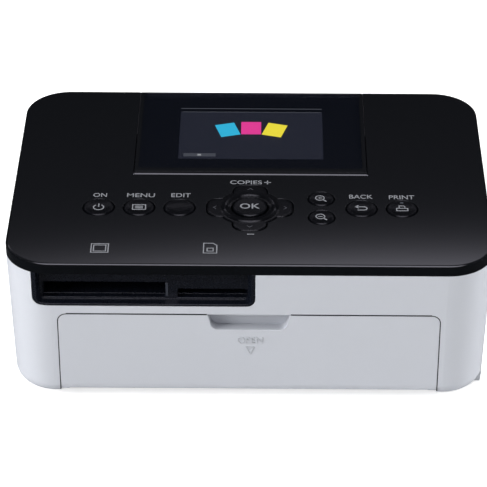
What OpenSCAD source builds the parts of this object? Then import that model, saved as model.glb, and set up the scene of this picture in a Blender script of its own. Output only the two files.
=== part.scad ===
// Compact dye-sublimation photo printer, in millimetres.
// X runs to the right, Y to the back and Z up; the origin is under the middle of the printer, on the table.

/* [Body] */
// Width of the printer
body_w = 178; // [168:0.5:188]
// Depth of the printer
body_d = 127; // [118:0.5:136]
// Height of the top face above the table
body_h = 60.5; // [56:0.5:66]
// Corner radius seen from above
corner_r = 17; // [14:0.5:19]
// How far each side leans in from the rim down to the table
side_taper = 1.8; // [1:0.1:2.4]
// Radius of the bottom edge
bottom_fillet = 6.4; // [5:0.1:7]
// Height of the underside above the table
foot_h = 0.8; // [0.5:0.1:1]
// Wall thickness of the shell
wall = 2.2; // [1.8:0.1:2.4]
// Height of the black cover's side band
band_h = 4.3; // [4:0.1:5]
// Radius of the cover's top edge
cover_edge_r = 0.8; // [0.4:0.1:1.2]
// Width of a seam between two outer pieces
seam = 0.3; // [0.2:0.05:0.4]

/* [Cassette door] */
// Distance from each side of the printer to the door's edge
door_side = 19.35; // [18.5:0.05:23]
// Height of the white strip between the card slots and the door
door_strip = 4; // [3.4:0.1:4.8]
// Height of the door's bottom edge above the table
door_bottom = 4.2; // [4:0.1:4.6]
// Radius of the door's two upper corners
door_corner_r = 3; // [1:0.1:4]
// Width of the finger recess at the top of the door
recess_w = 30.4; // [20:0.1:36]
// Height of the finger recess
recess_h = 6.5; // [5:0.1:9]
// Depth of the finger recess
recess_depth = 5; // [4.5:0.1:5.2]

/* [Ink door] */
// Distance from the front of the printer to the ink door
ink_front_gap = 12.5; // [11.5:0.5:17.5]
// Distance from the ink door to the back of the printer
ink_rear_gap = 17.5; // [17:0.5:20.5]
// Distance from the ink door's top edge to the black cover
ink_top_gap = 5.2; // [4.2:0.1:5.7]
// Height of the ink door's bottom edge above the table
ink_door_bottom = 1.3; // [1.2:0.1:1.5]

/* [Card slots] */
// Distance from the left side of the printer to the black bezel
bezel_side = 10.3; // [10:0.1:11]
// Height of the bezel
bezel_h = 13.9; // [13.5:0.1:14.2]
// How far the slots stand back from the front
bezel_depth = 4; // [3:0.1:4.5]
// Width of the wide card slot
wide_slot_w = 44.7; // [43.5:0.1:45.5]
// Distance from the bezel's left end to the wide card slot
wide_slot_gap = 3.6; // [3.2:0.1:4.4]
// Height of the wide card slot
wide_slot_h = 6.7; // [6:0.1:6.8]
// Width of the small card slot
small_slot_w = 25.4; // [24.5:0.1:25.6]
// Distance between the two card slots
slot_gap = 4.4; // [4:0.1:5]
// Distance from the small card slot to the bezel's right end
small_slot_gap = 2.8; // [2.7:0.1:4]
// Height of the small card slot
small_slot_h = 3.9; // [3:0.1:4.4]

/* [Screen] */
// Width of the tilting screen
screen_w = 88.5; // [84:0.1:90]
// Front edge of the screen, from the middle of the printer
screen_front = -0.5; // [-1:0.1:0]
// Thickness of the screen at its front edge
screen_barrel = 4.2; // [4:0.1:4.4]
// Width of the display
display_w = 56; // [50:0.1:60]
// Depth of the display
display_d = 36.6; // [30:0.1:38]
// How far the display stands behind the middle of the screen
display_shift = 0.3; // [0:0.1:0.6]
// Radius of the screen's hinge pins
screen_pin_r = 1.2; // [1:0.05:1.4]

/* [Keys] */
// Radius of the round keys
key_r = 5.75; // [5:0.05:6]
// Spacing of the round keys
key_pitch = 15.05; // [14.5:0.05:15.4]
// Middle of the left key, which switches the printer on
power_x = -56.3; // [-56.8:0.1:-56]
// Middle of the right key, which prints
print_x = 56.6; // [56:0.1:57]
// Distance of the keys from the middle of the printer, front to back
key_y = -24.6; // [-25.2:0.1:-24]
// Radius of the two zoom keys
zoom_r = 4.85; // [4:0.05:5]
// Spacing of the two zoom keys
zoom_pitch = 13; // [11.6:0.1:13.4]
// Middle of the zoom keys, from the middle of the printer
zoom_x = 26.6; // [25.8:0.1:27.2]
// How far a key stands above the cover
key_rise = 0.35; // [0.2:0.05:0.5]
// How far a key goes down
key_travel = 0.5; // [0.3:0.05:0.5]

/* [Navigation pad] */
// Length of the pad from tip to tip
pad_span = 31.7; // [30:0.1:32]
// Radius of the pad's body between the arms
pad_body_r = 11.8; // [11:0.1:12.4]
// Width of each arm
pad_arm_w = 12.4; // [11:0.1:13]
// Radius of the OK key in the middle
ok_r = 6.5; // [6:0.05:6.7]
// How far the pad stands above the cover
pad_rise = 0.7; // [0.5:0.05:0.9]

/* [Print mechanism] */
// Distance from the top of the printer down to the paper path
paper_drop = 24.5; // [24.3:0.05:24.7]
// Distance from each side of the printer to its chassis plate
gear_room = 29; // [28.8:0.05:29.2]
// Distance from the platen roller's axis to the back of the printer
platen_back = 47.5; // [47:0.1:48]
// Thickness of the chassis plates
plate_t = 1.2; // [1:0.1:1.4]
// Radius of the platen roller
platen_r = 6; // [5.6:0.1:6.2]
// Radius of the capstan roller
capstan_r = 3.5; // [3:0.1:3.7]
// Radius of the pick-up roller
pickup_r = 8; // [7:0.1:8.2]
// Radius of the roller shafts in their bushes
shaft_r = 2.5; // [2:0.1:2.7]
// Radial clearance of a shaft in its bore
running_fit = 0.05; // [0.02:0.01:0.08]
// Radius of the feed motor
motor_r = 13; // [11:0.1:13.4]
// Length of the feed motor
motor_l = 9; // [7:0.1:9.4]

/* [Ink cassette] */
// Distance between the two ink spools
spool_pitch = 32; // [31.8:0.05:32.2]
// Outer radius of the ink cassette's two tubes
tube_r = 7.8; // [7.6:0.05:7.8]
// Wall of the ink cassette
tube_wall = 1.1; // [0.9:0.05:1.2]
// Radius of the full supply roll
supply_r = 6; // [5:0.05:6.2]
// Radius of the take-up roll
takeup_r = 4.5; // [4:0.05:5.5]
// How much shorter the ink cassette is than the room between the plates
cassette_play = 11; // [10.5:0.5:15]

/* [Gears] */
// Gear module
gear_m = 0.8; // [0.79:0.002:0.806]
// Face width of a gear
gear_w = 3; // [2.4:0.1:3.1]
// Play between meshing teeth
gear_play = 0.16; // [0.1:0.01:0.25]

/* [Hidden] */
$fn = 48;
eps = 0.01;
far = 200;

// Colours
shell_white = "#c9ccd1";
gloss_black = "#101114";
satin_black = "#1b1c20";
key_black = "#16171b";
frame_grey = "#5b5f66";
zinc_steel = "#a9adb2";
acetal_white = "#e6e2d6";
rubber_black = "#26262a";
board_green = "#1f5a3a";

// Heights
rim_z = body_h - band_h;
cover_t = 2;
cover_under = body_h - cover_t;
base_t = 1.8;
lip_z = foot_h + wall;
deck_z = lip_z + 1.6;

// Half sizes
half_w = body_w / 2;
half_d = body_d / 2;
chassis_x = half_w - gear_room;
paper_half = chassis_x - 10;

// Paper path
paper_z = body_h - paper_drop;

// ---------------------------------------------------------------------------------------------
// Shared shapes
// ---------------------------------------------------------------------------------------------

// How far the leaning side has drawn in at height z
function side_inset(z) = side_taper * (1 - z / rim_z);

// Inner face of the rear wall at height z
function rear_inner(z) = half_d - wall - side_inset(z);

// Points of the round bottom edge, at a depth below the outer skin
function edge_points(skin, steps = 12) =
    let (middle_z = foot_h + bottom_fillet)
    [for (i = [0 : steps])
        let (a = 90 * (1 - i / steps), r = bottom_fillet - skin)
        [side_inset(middle_z) + bottom_fillet - r * cos(a), middle_z - r * sin(a)]];

// Outer skin of the shell, and its inner wall, as [inset, height] from the bottom up
function outer_skin() = concat(edge_points(0), [[0, rim_z]]);
function inner_skin() = concat(edge_points(wall), [[wall, rim_z + eps]]);

// A side without the round bottom edge, for the ink door
function straight_skin(skin) = [[side_inset(0) + skin, 0], [skin, rim_z]];

// A block whose plan is a rounded rectangle, drawn in by the insets of a side profile
module swept_block(profile) {
    core_x = half_w - corner_r;
    core_y = half_d - corner_r;
    low = profile[0][1];
    high = profile[len(profile) - 1][1];
    last = len(profile) - 1;
    side = [for (p = profile) [corner_r - p[0], p[1]]];
    function slab(core) = concat(
        [for (p = side) [core + p[0], p[1]]],
        [for (i = [last : -1 : 0]) [-core - side[i][0], side[i][1]]]);
    translate([-core_x, 0, 0]) rotate([90, 0, 90]) linear_extrude(2 * core_x) polygon(slab(core_y));
    translate([0, core_y, 0]) rotate([90, 0, 0]) linear_extrude(2 * core_y) polygon(slab(core_x));
    for (turn = [0 : 3]) {
        sx = (turn == 0 || turn == 3) ? 1 : -1;
        sy = turn < 2 ? 1 : -1;
        translate([sx * core_x, sy * core_y, 0]) rotate([0, 0, 90 * turn])
            rotate_extrude(angle = 90, $fn = 96) polygon(concat([[0, low]], side, [[0, high]]));
    }
}

// Corner points of a rounded rectangle; radii run from the lower left corner anticlockwise
function rounded(low, high, radii, steps = 6) =
    [for (c = [0 : 3])
        let (r = radii[c],
             x = (c == 0 || c == 3) ? low[0] + r : high[0] - r,
             y = c < 2 ? low[1] + r : high[1] - r)
        for (i = [0 : (r > 0 ? steps : 0)])
            let (a = 180 + 90 * c + 90 * i / steps)
            [x + r * cos(a), y + r * sin(a)]];

// A flat plate with rounded corners, lying between two corners
module plate(low, high, r) {
    translate([0, 0, low[2]]) linear_extrude(high[2] - low[2])
        polygon(rounded([low[0], low[1]], [high[0], high[1]], [r, r, r, r]));
}

// A plain block between two corners
module block(low, high) {
    translate(low) cube(high - low);
}

// An outline in (y, z), extruded along X
module along_x(x0, x1) {
    translate([x0, 0, 0]) rotate([90, 0, 90]) linear_extrude(x1 - x0) children();
}

// An outline in (x, z), extruded along Y
module along_y(y0, y1) {
    translate([0, y1, 0]) rotate([90, 0, 0]) linear_extrude(y1 - y0) children();
}

// A round bar along X, centred on a (y, z) point
module bar(x0, x1, at, r) {
    translate([x0, at[0], at[1]]) rotate([0, 90, 0]) cylinder(h = x1 - x0, r = r);
}

// A round bar along Y, centred on an (x, z) point
module rod_y(y0, y1, at, r) {
    translate([at[0], y1, at[1]]) rotate([90, 0, 0]) cylinder(h = y1 - y0, r = r);
}

// ---------------------------------------------------------------------------------------------
// Places that several pieces share
// ---------------------------------------------------------------------------------------------

// Base pan
pan_inset = 12;
pan_r = corner_r - pan_inset;

// Card slots
bezel_left = -half_w + bezel_side;
wide_slot_x = bezel_left + wide_slot_gap + wide_slot_w / 2;
small_slot_x = wide_slot_x + wide_slot_w / 2 + slot_gap + small_slot_w / 2;
bezel_right = small_slot_x + small_slot_w / 2 + small_slot_gap;
bezel_bottom = rim_z - bezel_h;
slot_z = bezel_bottom + 1.45;
bezel_back = -half_d + bezel_depth + 2;
socket_front = bezel_back + 0.3;
reader_top = bezel_bottom + 0.1;
reader_t = 1.6;

// Cassette door: hinge axis (y, z) just inside the front wall
door_w = body_w - 2 * door_side;
door_top = bezel_bottom - door_strip;
door_axis = [-half_d + 4.5, door_bottom + 1.3];
door_pin_r = 1.3;
door_pin_l = 3;
door_ear_r = 2.5;

// Ink door: hinge axis (x, z) just inside the right wall
ink_door_front = -half_d + ink_front_gap;
ink_door_rear = half_d - ink_rear_gap;
ink_door_top = rim_z - ink_top_gap;
ink_axis = [half_w - 4.4, ink_door_bottom + 3.6];
ink_pin_r = 1.2;
ink_ear_r = 2.4;
ink_swing = ink_axis[1] - ink_door_bottom + 0.6;

// Gear train; teeth, pitch radius, and centre distance
pinion_teeth = 12;
big_teeth = 32;
small_teeth = 12;
capstan_teeth = 30;
feed_teeth = 24;
drive_teeth = 18;
idler_teeth = 26;
pickup_teeth = 24;
function pitch_r(teeth) = teeth * gear_m / 2;
function spread(a, b) = pitch_r(a) + pitch_r(b);
function direction(from, to) = atan2(to[1] - from[1], to[0] - from[0]);

// Distance front to back between two meshed gears that stand at heights z0 and z1
function mesh_run(a, b, z0, z1) = sqrt(pow(spread(a, b), 2) - pow(z0 - z1, 2));

// Height of a gear's axis that just clears the base
function lowest_z(teeth) = deck_z + pitch_r(teeth) + gear_m + 1.8;

// Roller and spool axes as (y, z), from the ink cassette forwards
spool_z = paper_z + 4;
platen_at = [half_d - platen_back, paper_z - platen_r];
supply_at = [platen_at[0] - spool_pitch / 2, spool_z];
takeup_at = [platen_at[0] + spool_pitch / 2, spool_z];
capstan_z = paper_z - capstan_r;
capstan_at = [takeup_at[0] + mesh_run(feed_teeth, drive_teeth, spool_z, capstan_z), capstan_z];
pinch_r = 3.5;
pinch_shaft_r = 1.5;
pinch_lift = 0.2;
pinch_at = [capstan_at[0], paper_z + pinch_r + pinch_lift];

// The other gears follow one another to the front, each clear of the base
reduction_z = max(lowest_z(big_teeth), capstan_z - 12.5);
reduction_at = [
    capstan_at[0] - mesh_run(capstan_teeth, small_teeth, capstan_z, reduction_z), reduction_z];
motor_z = reduction_z + 0.6;
motor_at = [reduction_at[0] - mesh_run(big_teeth, pinion_teeth, reduction_z, motor_z), motor_z];
idler_z = max(lowest_z(idler_teeth), motor_z - 1.9);
idler_at = [motor_at[0] - mesh_run(pinion_teeth, idler_teeth, motor_z, idler_z), idler_z];
pickup_z = paper_z - 7;
pickup_at = [idler_at[0] - mesh_run(idler_teeth, pickup_teeth, idler_z, pickup_z), pickup_z];

// Cassette bay, under the pick-up roller
bay_front = door_axis[0] + 3.2;
bay_back = pickup_at[0] + 6;
bay_roof = paper_z + 0.8;
bay_roof_t = 1.6;
bay_roof_back = pickup_at[0] - 10;

// Chassis plates; the front of each is cut down to the roof of the bay
chassis_front = pickup_at[0] - 16;
chassis_back = half_d - 5.5;
chassis_top = paper_z + 14;
chassis_step = supply_at[0] - tube_r - 10;

// Turn of a gear that meshes with another whose tooth 0 stands at a known turn
function mesh_turn(from, to, from_teeth, from_turn, to_teeth) =
    let (way = direction(from, to))
    way + 180 + 180 / to_teeth + (way - from_turn) * from_teeth / to_teeth;

pinion_turn = direction(motor_at, reduction_at);
big_turn = mesh_turn(motor_at, reduction_at, pinion_teeth, pinion_turn, big_teeth);
small_turn = direction(reduction_at, capstan_at);
capstan_turn = mesh_turn(reduction_at, capstan_at, small_teeth, small_turn, capstan_teeth);
feed_turn = direction(capstan_at, takeup_at);
drive_turn = mesh_turn(capstan_at, takeup_at, feed_teeth, feed_turn, drive_teeth);
idler_turn = mesh_turn(motor_at, idler_at, pinion_teeth, pinion_turn, idler_teeth);
pickup_turn = mesh_turn(idler_at, pickup_at, idler_teeth, idler_turn, pickup_teeth);

// Gear planes along X, from the left chassis plate outwards
plate_out = -chassis_x - plate_t;
gear_gap = 0.6;
bush_flange = 1;
plane_1 = plate_out - bush_flange - 0.3 - gear_w;
plane_2 = plane_1 - gear_gap - gear_w;
plane_3 = plane_2 - gear_gap - gear_w;
stud_r = 1.5;
bracket_t = 1.2;
bracket_x = plane_3 - 1.2 - bracket_t;

// Print head and its arm
arm_at = [platen_at[0] + 37, paper_z + 10];
arm_shaft_r = 2;
head_z = paper_z + 2.9;
arm_bar_x = chassis_x - 2.5;
arm_plate_z = chassis_top - 1.7;
ribbon_z = paper_z + 0.75;
ribbon_t = 0.2;

// Keys
cap_bottom = cover_under - 1.5;
key_flange_t = 1.2;
key_flange = 0.9;
key_gap = 0.3;
dome_top = cap_bottom - key_travel - 0.1;
mat_t = 0.8;
dome_h = 0.6;
mat_top = dome_top - dome_h;
board_top = mat_top - mat_t;
board_t = 1.6;
board_front = key_y - 21;
board_back = key_y + 18.5;
pad_at = [0, key_y + 0.2];
key_places = [
    [power_x, key_y], [power_x + key_pitch, key_y], [power_x + 2 * key_pitch, key_y],
    [print_x - key_pitch, key_y], [print_x, key_y]];
zoom_places = [[zoom_x, pad_at[1] + zoom_pitch / 2], [zoom_x, pad_at[1] - zoom_pitch / 2]];

// Screen
hinge_r = screen_barrel / 2;
screen_axis = [screen_front + hinge_r, body_h - hinge_r];
screen_x = screen_w / 2;
well_gap = 0.3;
well_wall = 1.8;
well_floor = cover_under - 6.9;
well_floor_t = 1.2;
frame_under = well_floor + well_floor_t + 0.5;
window_t = 1.2;
screen_top_t = 2.6;

// Main board and what stands on it
main_z = deck_z + 3.4;
main_t = 1.6;
main_front = platen_at[0] - 18;
main_back = half_d - 12;
inlet_x = -40;
port_x = -16;
inlet_z = main_z + main_t + 6;
plug_h = 11;
port_size = [12, plug_h];

// ---------------------------------------------------------------------------------------------
// Housing
// ---------------------------------------------------------------------------------------------

// Outline of the front door, widened by a seam, in (x, z)
module door_outline(grow, bottom) {
    polygon(rounded([-door_w / 2 - grow, bottom], [door_w / 2 + grow, door_top + grow],
        [0, 0, door_corner_r + grow, door_corner_r + grow]));
}

// Outline of the ink door, widened by a seam, in (y, z)
module ink_outline(grow, bottom) {
    r = 2.5 + grow;
    polygon(rounded([ink_door_front - grow, bottom], [ink_door_rear + grow, ink_door_top + grow],
        [0, 0, r, r]));
}

// Outline of the card slot bezel in (x, z)
module bezel_outline(grow, top) {
    r = 3 + grow;
    polygon(rounded([bezel_left - grow, bezel_bottom - grow], [bezel_right + grow, top], [r, r, 0, 0]));
}

// Blocks at the foot of the shell that hold the pins of the front door
module door_hinge_blocks() {
    inner = door_w / 2 + seam;
    for (s = [0, 1]) mirror([s, 0, 0]) intersection() {
        block([inner, -half_d, foot_h], [inner + door_pin_l + 2, door_axis[0] + 4, door_axis[1] + 5]);
        swept_block(outer_skin());
    }
}

module door_hinge_bores() {
    end = door_w / 2 + seam + door_pin_l + 0.5;
    bar(-end, end, door_axis, door_pin_r + running_fit);
}

// Blocks inside the right wall that hold the pins of the ink door
ink_pin_l = 2.5;
module ink_hinge_blocks() {
    length = ink_pin_l + 2.5;
    for (y0 = [ink_door_front - seam - length, ink_door_rear + seam]) intersection() {
        block([ink_axis[0] - 4, y0, foot_h], [half_w, y0 + length, ink_axis[1] + 5]);
        swept_block(outer_skin());
    }
}

module ink_hinge_bores() {
    reach = seam + ink_pin_l + 0.4;
    rod_y(ink_door_front - reach, ink_door_rear + reach, ink_axis, ink_pin_r + running_fit);
}

// Slots for air, in rows on the rear and left walls
module air_slots() {
    slot_w = 1.8;
    slot_h = paper_z - 24;
    for (i = [0 : 7]) {
        translate([half_w - 30 - 4 * i, 0, 16]) along_y(half_d - 6, half_d + 1)
            polygon(rounded([-slot_w / 2, 0], [slot_w / 2, slot_h], [0.8, 0.8, 0.8, 0.8]));
        translate([0, -36 + 4 * i, 16]) along_x(-half_w - 1, -half_w + 6)
            polygon(rounded([-slot_w / 2, 0], [slot_w / 2, slot_h], [0.8, 0.8, 0.8, 0.8]));
    }
}

module body_shell() color(shell_white) {
    difference() {
        union() {
            difference() {
                swept_block(outer_skin());
                swept_block(inner_skin());
                plate([-half_w + pan_inset, -half_d + pan_inset, 0],
                    [half_w - pan_inset, half_d - pan_inset, lip_z + 1], pan_r);
                along_y(-half_d - 1, -half_d + 8) door_outline(seam, -1);
                along_y(-half_d - 1, bezel_back + 0.1) bezel_outline(seam / 2, rim_z + 1);
                along_x(ink_axis[0] - ink_swing, half_w + 1) ink_outline(seam, -1);
                along_y(half_d - 6, half_d + 1)
                    polygon(rounded([-paper_half - 3, paper_z - 1.6], [paper_half + 3, paper_z + 4.2],
                        [1, 1, 1, 1]));
                air_slots();
                rod_y(half_d - 6, half_d + 1, [inlet_x, inlet_z], 4.2);
                block([port_x - port_size[0] / 2 - 0.4, half_d - 6, main_z + main_t - 0.3],
                    [port_x + port_size[0] / 2 + 0.4, half_d + 1, main_z + main_t + port_size[1] + 0.4]);
            }
            door_hinge_blocks();
            ink_hinge_blocks();
            screw_towers();
        }
        door_hinge_bores();
        ink_hinge_bores();
    }
}

// Towers that take the two front base screws
tower_at = [half_w - pan_inset - 3.5, -half_d + pan_inset + 6.5];
tower_h = 9;
module screw_towers() {
    for (s = [0, 1]) mirror([s, 0, 0]) difference() {
        intersection() {
            union() {
                translate([tower_at[0], tower_at[1], deck_z]) cylinder(h = tower_h, r = 3);
                block([tower_at[0] - 0.8, -half_d, deck_z],
                    [tower_at[0] + 0.8, tower_at[1], deck_z + tower_h]);
            }
            swept_block(outer_skin());
        }
        translate([tower_at[0], tower_at[1], 0])
            cylinder(h = deck_z + tower_h - 2, r = screw_r + running_fit);
    }
}

screw_r = 1.3;
screw_head_r = 2.6;
screw_head_h = 1.1;
chassis_screws = [for (y = [-16, 16]) [chassis_x - 5, platen_at[0] + y]];

// The six places of the base screws
function screw_places() = [
    for (s = [-1, 1]) for (p = concat([tower_at], chassis_screws)) [s * p[0], p[1]]];

module base_pan() color(shell_white) {
    flange = 3;
    ring = 7;
    rib_t = 1.6;
    x1 = half_w - pan_inset;
    y1 = half_d - pan_inset;
    difference() {
        union() {
            plate([-x1 + 0.15, -y1 + 0.15, foot_h], [x1 - 0.15, y1 - 0.15, lip_z], pan_r - 0.15);
            plate([-x1 - flange, -y1, lip_z], [x1 + flange, y1 + flange, deck_z], pan_r);
        }
        plate([-x1 + ring, -y1 + ring, foot_h + base_t], [x1 - ring, y1 - ring, deck_z + 1], 3);
        foot_pockets();
        for (p = screw_places()) {
            translate([p[0], p[1], 0]) cylinder(h = deck_z + 1, r = screw_r + 0.2);
            translate([p[0], p[1], 0]) cylinder(h = foot_h + screw_head_h + 0.1, r = screw_head_r + 0.2);
        }
    }
    for (s = [-1, 1]) for (y = [chassis_front + 4, chassis_back - 12])
        block([s * (chassis_x - 4) - 5, y - rib_t / 2, foot_h + base_t - eps],
            [s * (chassis_x - 4) + 5, y + rib_t / 2, deck_z]);
    for (x = [-30, 0, 30])
        block([x - rib_t / 2, bay_front + 8, foot_h + base_t - eps], [x + rib_t / 2, bay_back, deck_z]);
    for (p = screw_places()) if (abs(p[0]) < tower_at[0] - 1) difference() {
        translate([p[0], p[1], foot_h + base_t - eps]) cylinder(h = deck_z - foot_h - base_t + eps, r = 3);
        translate([p[0], p[1], 0]) cylinder(h = deck_z + 1, r = screw_r + 0.2);
    }
    for (p = board_posts())
        translate([p[0], p[1], foot_h + base_t - eps]) cylinder(h = main_z - foot_h - base_t + eps, r = 2.2);
}

function board_posts() = [
    for (x = [-1, 1]) for (y = [main_front + 4, main_back - 5]) [x * (paper_half - 6), y]];

foot_places = [for (x = [-1, 1]) for (y = [-1, 1]) [x * (half_w - 30), y * (half_d - 21)]];
foot_r = 5;
foot_t = 1.3;

module foot_pockets() {
    for (p = foot_places) translate([p[0], p[1], 0]) cylinder(h = foot_t, r = foot_r + 0.1);
}

module rubber_feet() color(rubber_black) {
    for (p = foot_places) translate([p[0], p[1], 0])
        rotate_extrude() polygon([[0, 0], [foot_r - 0.3, 0], [foot_r, 0.3], [foot_r, foot_t], [0, foot_t]]);
}

module base_screws() color(zinc_steel) {
    for (p = screw_places()) {
        tower = abs(p[0]) > tower_at[0] - 1;
        top = tower ? deck_z + tower_h - 3 : deck_z + plate_t + 1.5;
        translate([p[0], p[1], foot_h + 0.1]) difference() {
            union() {
                cylinder(h = screw_head_h, r = screw_head_r);
                cylinder(h = top - foot_h - 0.1, r = screw_r);
            }
            for (a = [0, 90]) rotate([0, 0, a]) translate([-1.5, -0.3, -1]) cube([3, 0.6, 1.7]);
        }
    }
}

// Outer skin of the black cover
function cover_skin(steps = 5) = concat(
    [[0, rim_z]],
    [for (i = [0 : steps])
        let (a = 90 * i / steps)
        [cover_edge_r * (1 - cos(a)), body_h - cover_edge_r * (1 - sin(a))]]);

// Outline of the pad in plan: a disc with four round-ended arms
module pad_outline(grow) {
    tip_r = 4.6;
    reach = pad_span / 2 + grow;
    half = pad_arm_w / 2 + grow;
    circle(r = pad_body_r + grow);
    polygon(rounded([-reach, -half], [reach, half], [tip_r, tip_r, tip_r, tip_r]));
    polygon(rounded([-half, -reach], [half, reach], [tip_r, tip_r, tip_r, tip_r]));
}

// The well that the screen folds into: side walls, floor and rear wall
module screen_well() {
    x1 = screen_x + well_gap;
    y0 = screen_axis[0] + hinge_r + 1.1;
    y1 = half_d - wall - 1.6;
    difference() {
        block([-x1 - well_wall, y0 - well_wall, well_floor], [x1 + well_wall, y1, cover_under + eps]);
        block([-x1, y0, well_floor + well_floor_t], [x1, y1 - well_wall, cover_under + 1]);
        block([-x1, y0 - well_wall - 1, rim_z - 0.2], [x1, y1 + 1, cover_under + 1]);
    }
    for (s = [-1, 1])
        block([s * (x1 + well_wall / 2) - well_wall / 2, screen_front - 2, screen_axis[1] - 4],
            [s * (x1 + well_wall / 2) + well_wall / 2, y0, cover_under + eps]);
}

module top_cover() color(gloss_black) {
    hole_gap = 0.3;
    skirt = wall;
    difference() {
        union() {
            difference() {
                swept_block(cover_skin());
                swept_block([[skirt, rim_z - 1], [skirt, cover_under]]);
                block([-screen_x - well_gap, screen_front - well_gap, rim_z - 1],
                    [screen_x + well_gap, half_d + 1, body_h + 1]);
            }
            screen_well();
            for (x = [-1, 1]) for (y = [board_front + 3, board_back - 3])
                translate([x * post_x, y, board_top]) cylinder(h = cover_under - board_top + eps, r = 2);
        }
        bar(-screen_x - well_gap - 3, screen_x + well_gap + 3, screen_axis, screen_pin_r + running_fit);
        for (p = key_places) translate([p[0], p[1], rim_z]) cylinder(h = band_h + 1, r = key_r + hole_gap);
        for (p = zoom_places) translate([p[0], p[1], rim_z]) cylinder(h = band_h + 1, r = zoom_r + hole_gap);
        translate([pad_at[0], pad_at[1], rim_z]) linear_extrude(band_h + 1) pad_outline(0.4);
    }
}
post_x = 64;

// ---------------------------------------------------------------------------------------------
// Card slots
// ---------------------------------------------------------------------------------------------

// A slot's rectangle in (x, z)
module slot_outline(middle, width, height) {
    polygon(rounded([middle - width / 2, slot_z], [middle + width / 2, slot_z + height],
        [0.5, 0.5, 0.5, 0.5], 3));
}

module card_slot_bezel() color(satin_black) {
    lip = 0.8;
    draft = 1.8;
    recess_back = -half_d + bezel_depth;
    difference() {
        intersection() {
            swept_block(outer_skin());
            along_y(-half_d - 1, bezel_back) bezel_outline(0, rim_z);
        }
        hull() {
            along_y(-half_d - 1.1, -half_d - 1)
                polygon(rounded([bezel_left + lip, bezel_bottom + lip], [bezel_right - lip, rim_z + 1],
                    [2.2, 2.2, 0, 0]));
            along_y(recess_back - 0.1, recess_back)
                polygon(rounded([bezel_left + lip + draft, bezel_bottom + lip],
                    [bezel_right - lip - draft, rim_z + 1], [1.6, 1.6, 0, 0]));
        }
        along_y(recess_back - 1, bezel_back + 1) slot_outline(wide_slot_x, wide_slot_w, wide_slot_h);
        along_y(recess_back - 1, bezel_back + 1) slot_outline(small_slot_x, small_slot_w, small_slot_h);
    }
}

// A card socket: a box that is open to the front, with a contact block at its back
module card_socket(middle, width, height, back, roof) {
    side = 1.2;
    difference() {
        block([middle - width / 2 - side, socket_front, reader_top],
            [middle + width / 2 + side, back, slot_z + height + roof]);
        block([middle - width / 2 + 0.2, socket_front - 1, slot_z + 0.3],
            [middle + width / 2 - 0.2, back - 6, slot_z + height - 0.3]);
    }
}

module wide_card_socket() color(satin_black)
    card_socket(wide_slot_x, wide_slot_w, wide_slot_h, chassis_step - 4.2, 0.8);

module small_card_socket() color(satin_black)
    card_socket(small_slot_x, small_slot_w, small_slot_h, chassis_step - 9.2, 0.8);

module card_reader_board() color(board_green) {
    back = chassis_step - 2.2;
    under = reader_top - reader_t;
    block([bezel_left + 1.5, socket_front, under], [bezel_right - 0.5, back, reader_top]);
    block([bezel_right - 32, back - 4.8, under - 2], [bezel_right - 16, back - 1, under]);
}

// ---------------------------------------------------------------------------------------------
// Keys and their board
// ---------------------------------------------------------------------------------------------

// Notch in the rear edge of the key board, for the cable of the screen
module cable_notch() {
    low = [screen_x - 30, board_back - 2, board_top - board_t - 1];
    block(low, low + [14, 4, board_t + 2]);
}

module control_board() color(board_green) {
    difference() {
        block([-post_x - 3, board_front, board_top - board_t], [post_x + 3, board_back, board_top]);
        cable_notch();
    }
    block([-12, board_back - 9, board_top - board_t - 1.8], [12, board_back - 4, board_top - board_t]);
}

// Places of the rubber domes: one under each key, four under the pad, one under OK
dome_places = concat(key_places, zoom_places, [pad_at],
    [for (a = [0, 90, 180, 270]) pad_at + 12.2 * [cos(a), sin(a)]]);

module key_mat() color("#8b8d92") {
    plate([-post_x + 3, board_front + 1, board_top], [post_x - 3, board_back - 1, mat_top], 2);
    for (p = dome_places) translate([p[0], p[1], mat_top - eps])
        rotate_extrude($fn = 24) polygon([[0, 0], [2.2, 0], [1.6, dome_h], [0, dome_h]]);
    for (s = [-1, 1]) translate([pad_at[0] + s * ring_mid, pad_at[1], mat_top - eps])
        block([-1.2, -1, 0], [1.2, 1, ring_bottom - ridge_r - 0.3 - mat_top]);
}

// A round key: cap with a round top edge and a shallow dish, and a flange under the cover
module round_key(place, r) {
    edge = 0.7;
    dish = 0.25;
    top = body_h + key_rise;
    flange_top = cover_under - key_gap;
    translate([place[0], place[1], 0]) rotate_extrude($fn = 72) polygon(concat(
        [[0, cap_bottom], [r + key_flange, cap_bottom], [r + key_flange, flange_top], [r, flange_top]],
        [for (i = [0 : 5]) let (a = 18 * i) [r - edge * (1 - cos(a)), top - edge * (1 - sin(a))]],
        [[r * 0.55, top - dish * 0.7], [0, top - dish]]));
}

module power_button() color(key_black) round_key(key_places[0], key_r);
module menu_button() color(key_black) round_key(key_places[1], key_r);
module edit_button() color(key_black) round_key(key_places[2], key_r);
module back_button() color(key_black) round_key(key_places[3], key_r);
module print_button() color(key_black) round_key(key_places[4], key_r);
module zoom_in_button() color(key_black) round_key(zoom_places[0], zoom_r);
module zoom_out_button() color(key_black) round_key(zoom_places[1], zoom_r);

ring_in = 8;
ring_out = 10.6;
ring_bottom = cap_bottom - 0.1;
ring_t = 0.5;
ring_mid = (ring_in + ring_out) / 2;
ridge_r = 0.25;
pad_under = ring_bottom + ring_t + 0.4;
pad_flange_top = cover_under - 0.7;

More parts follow.
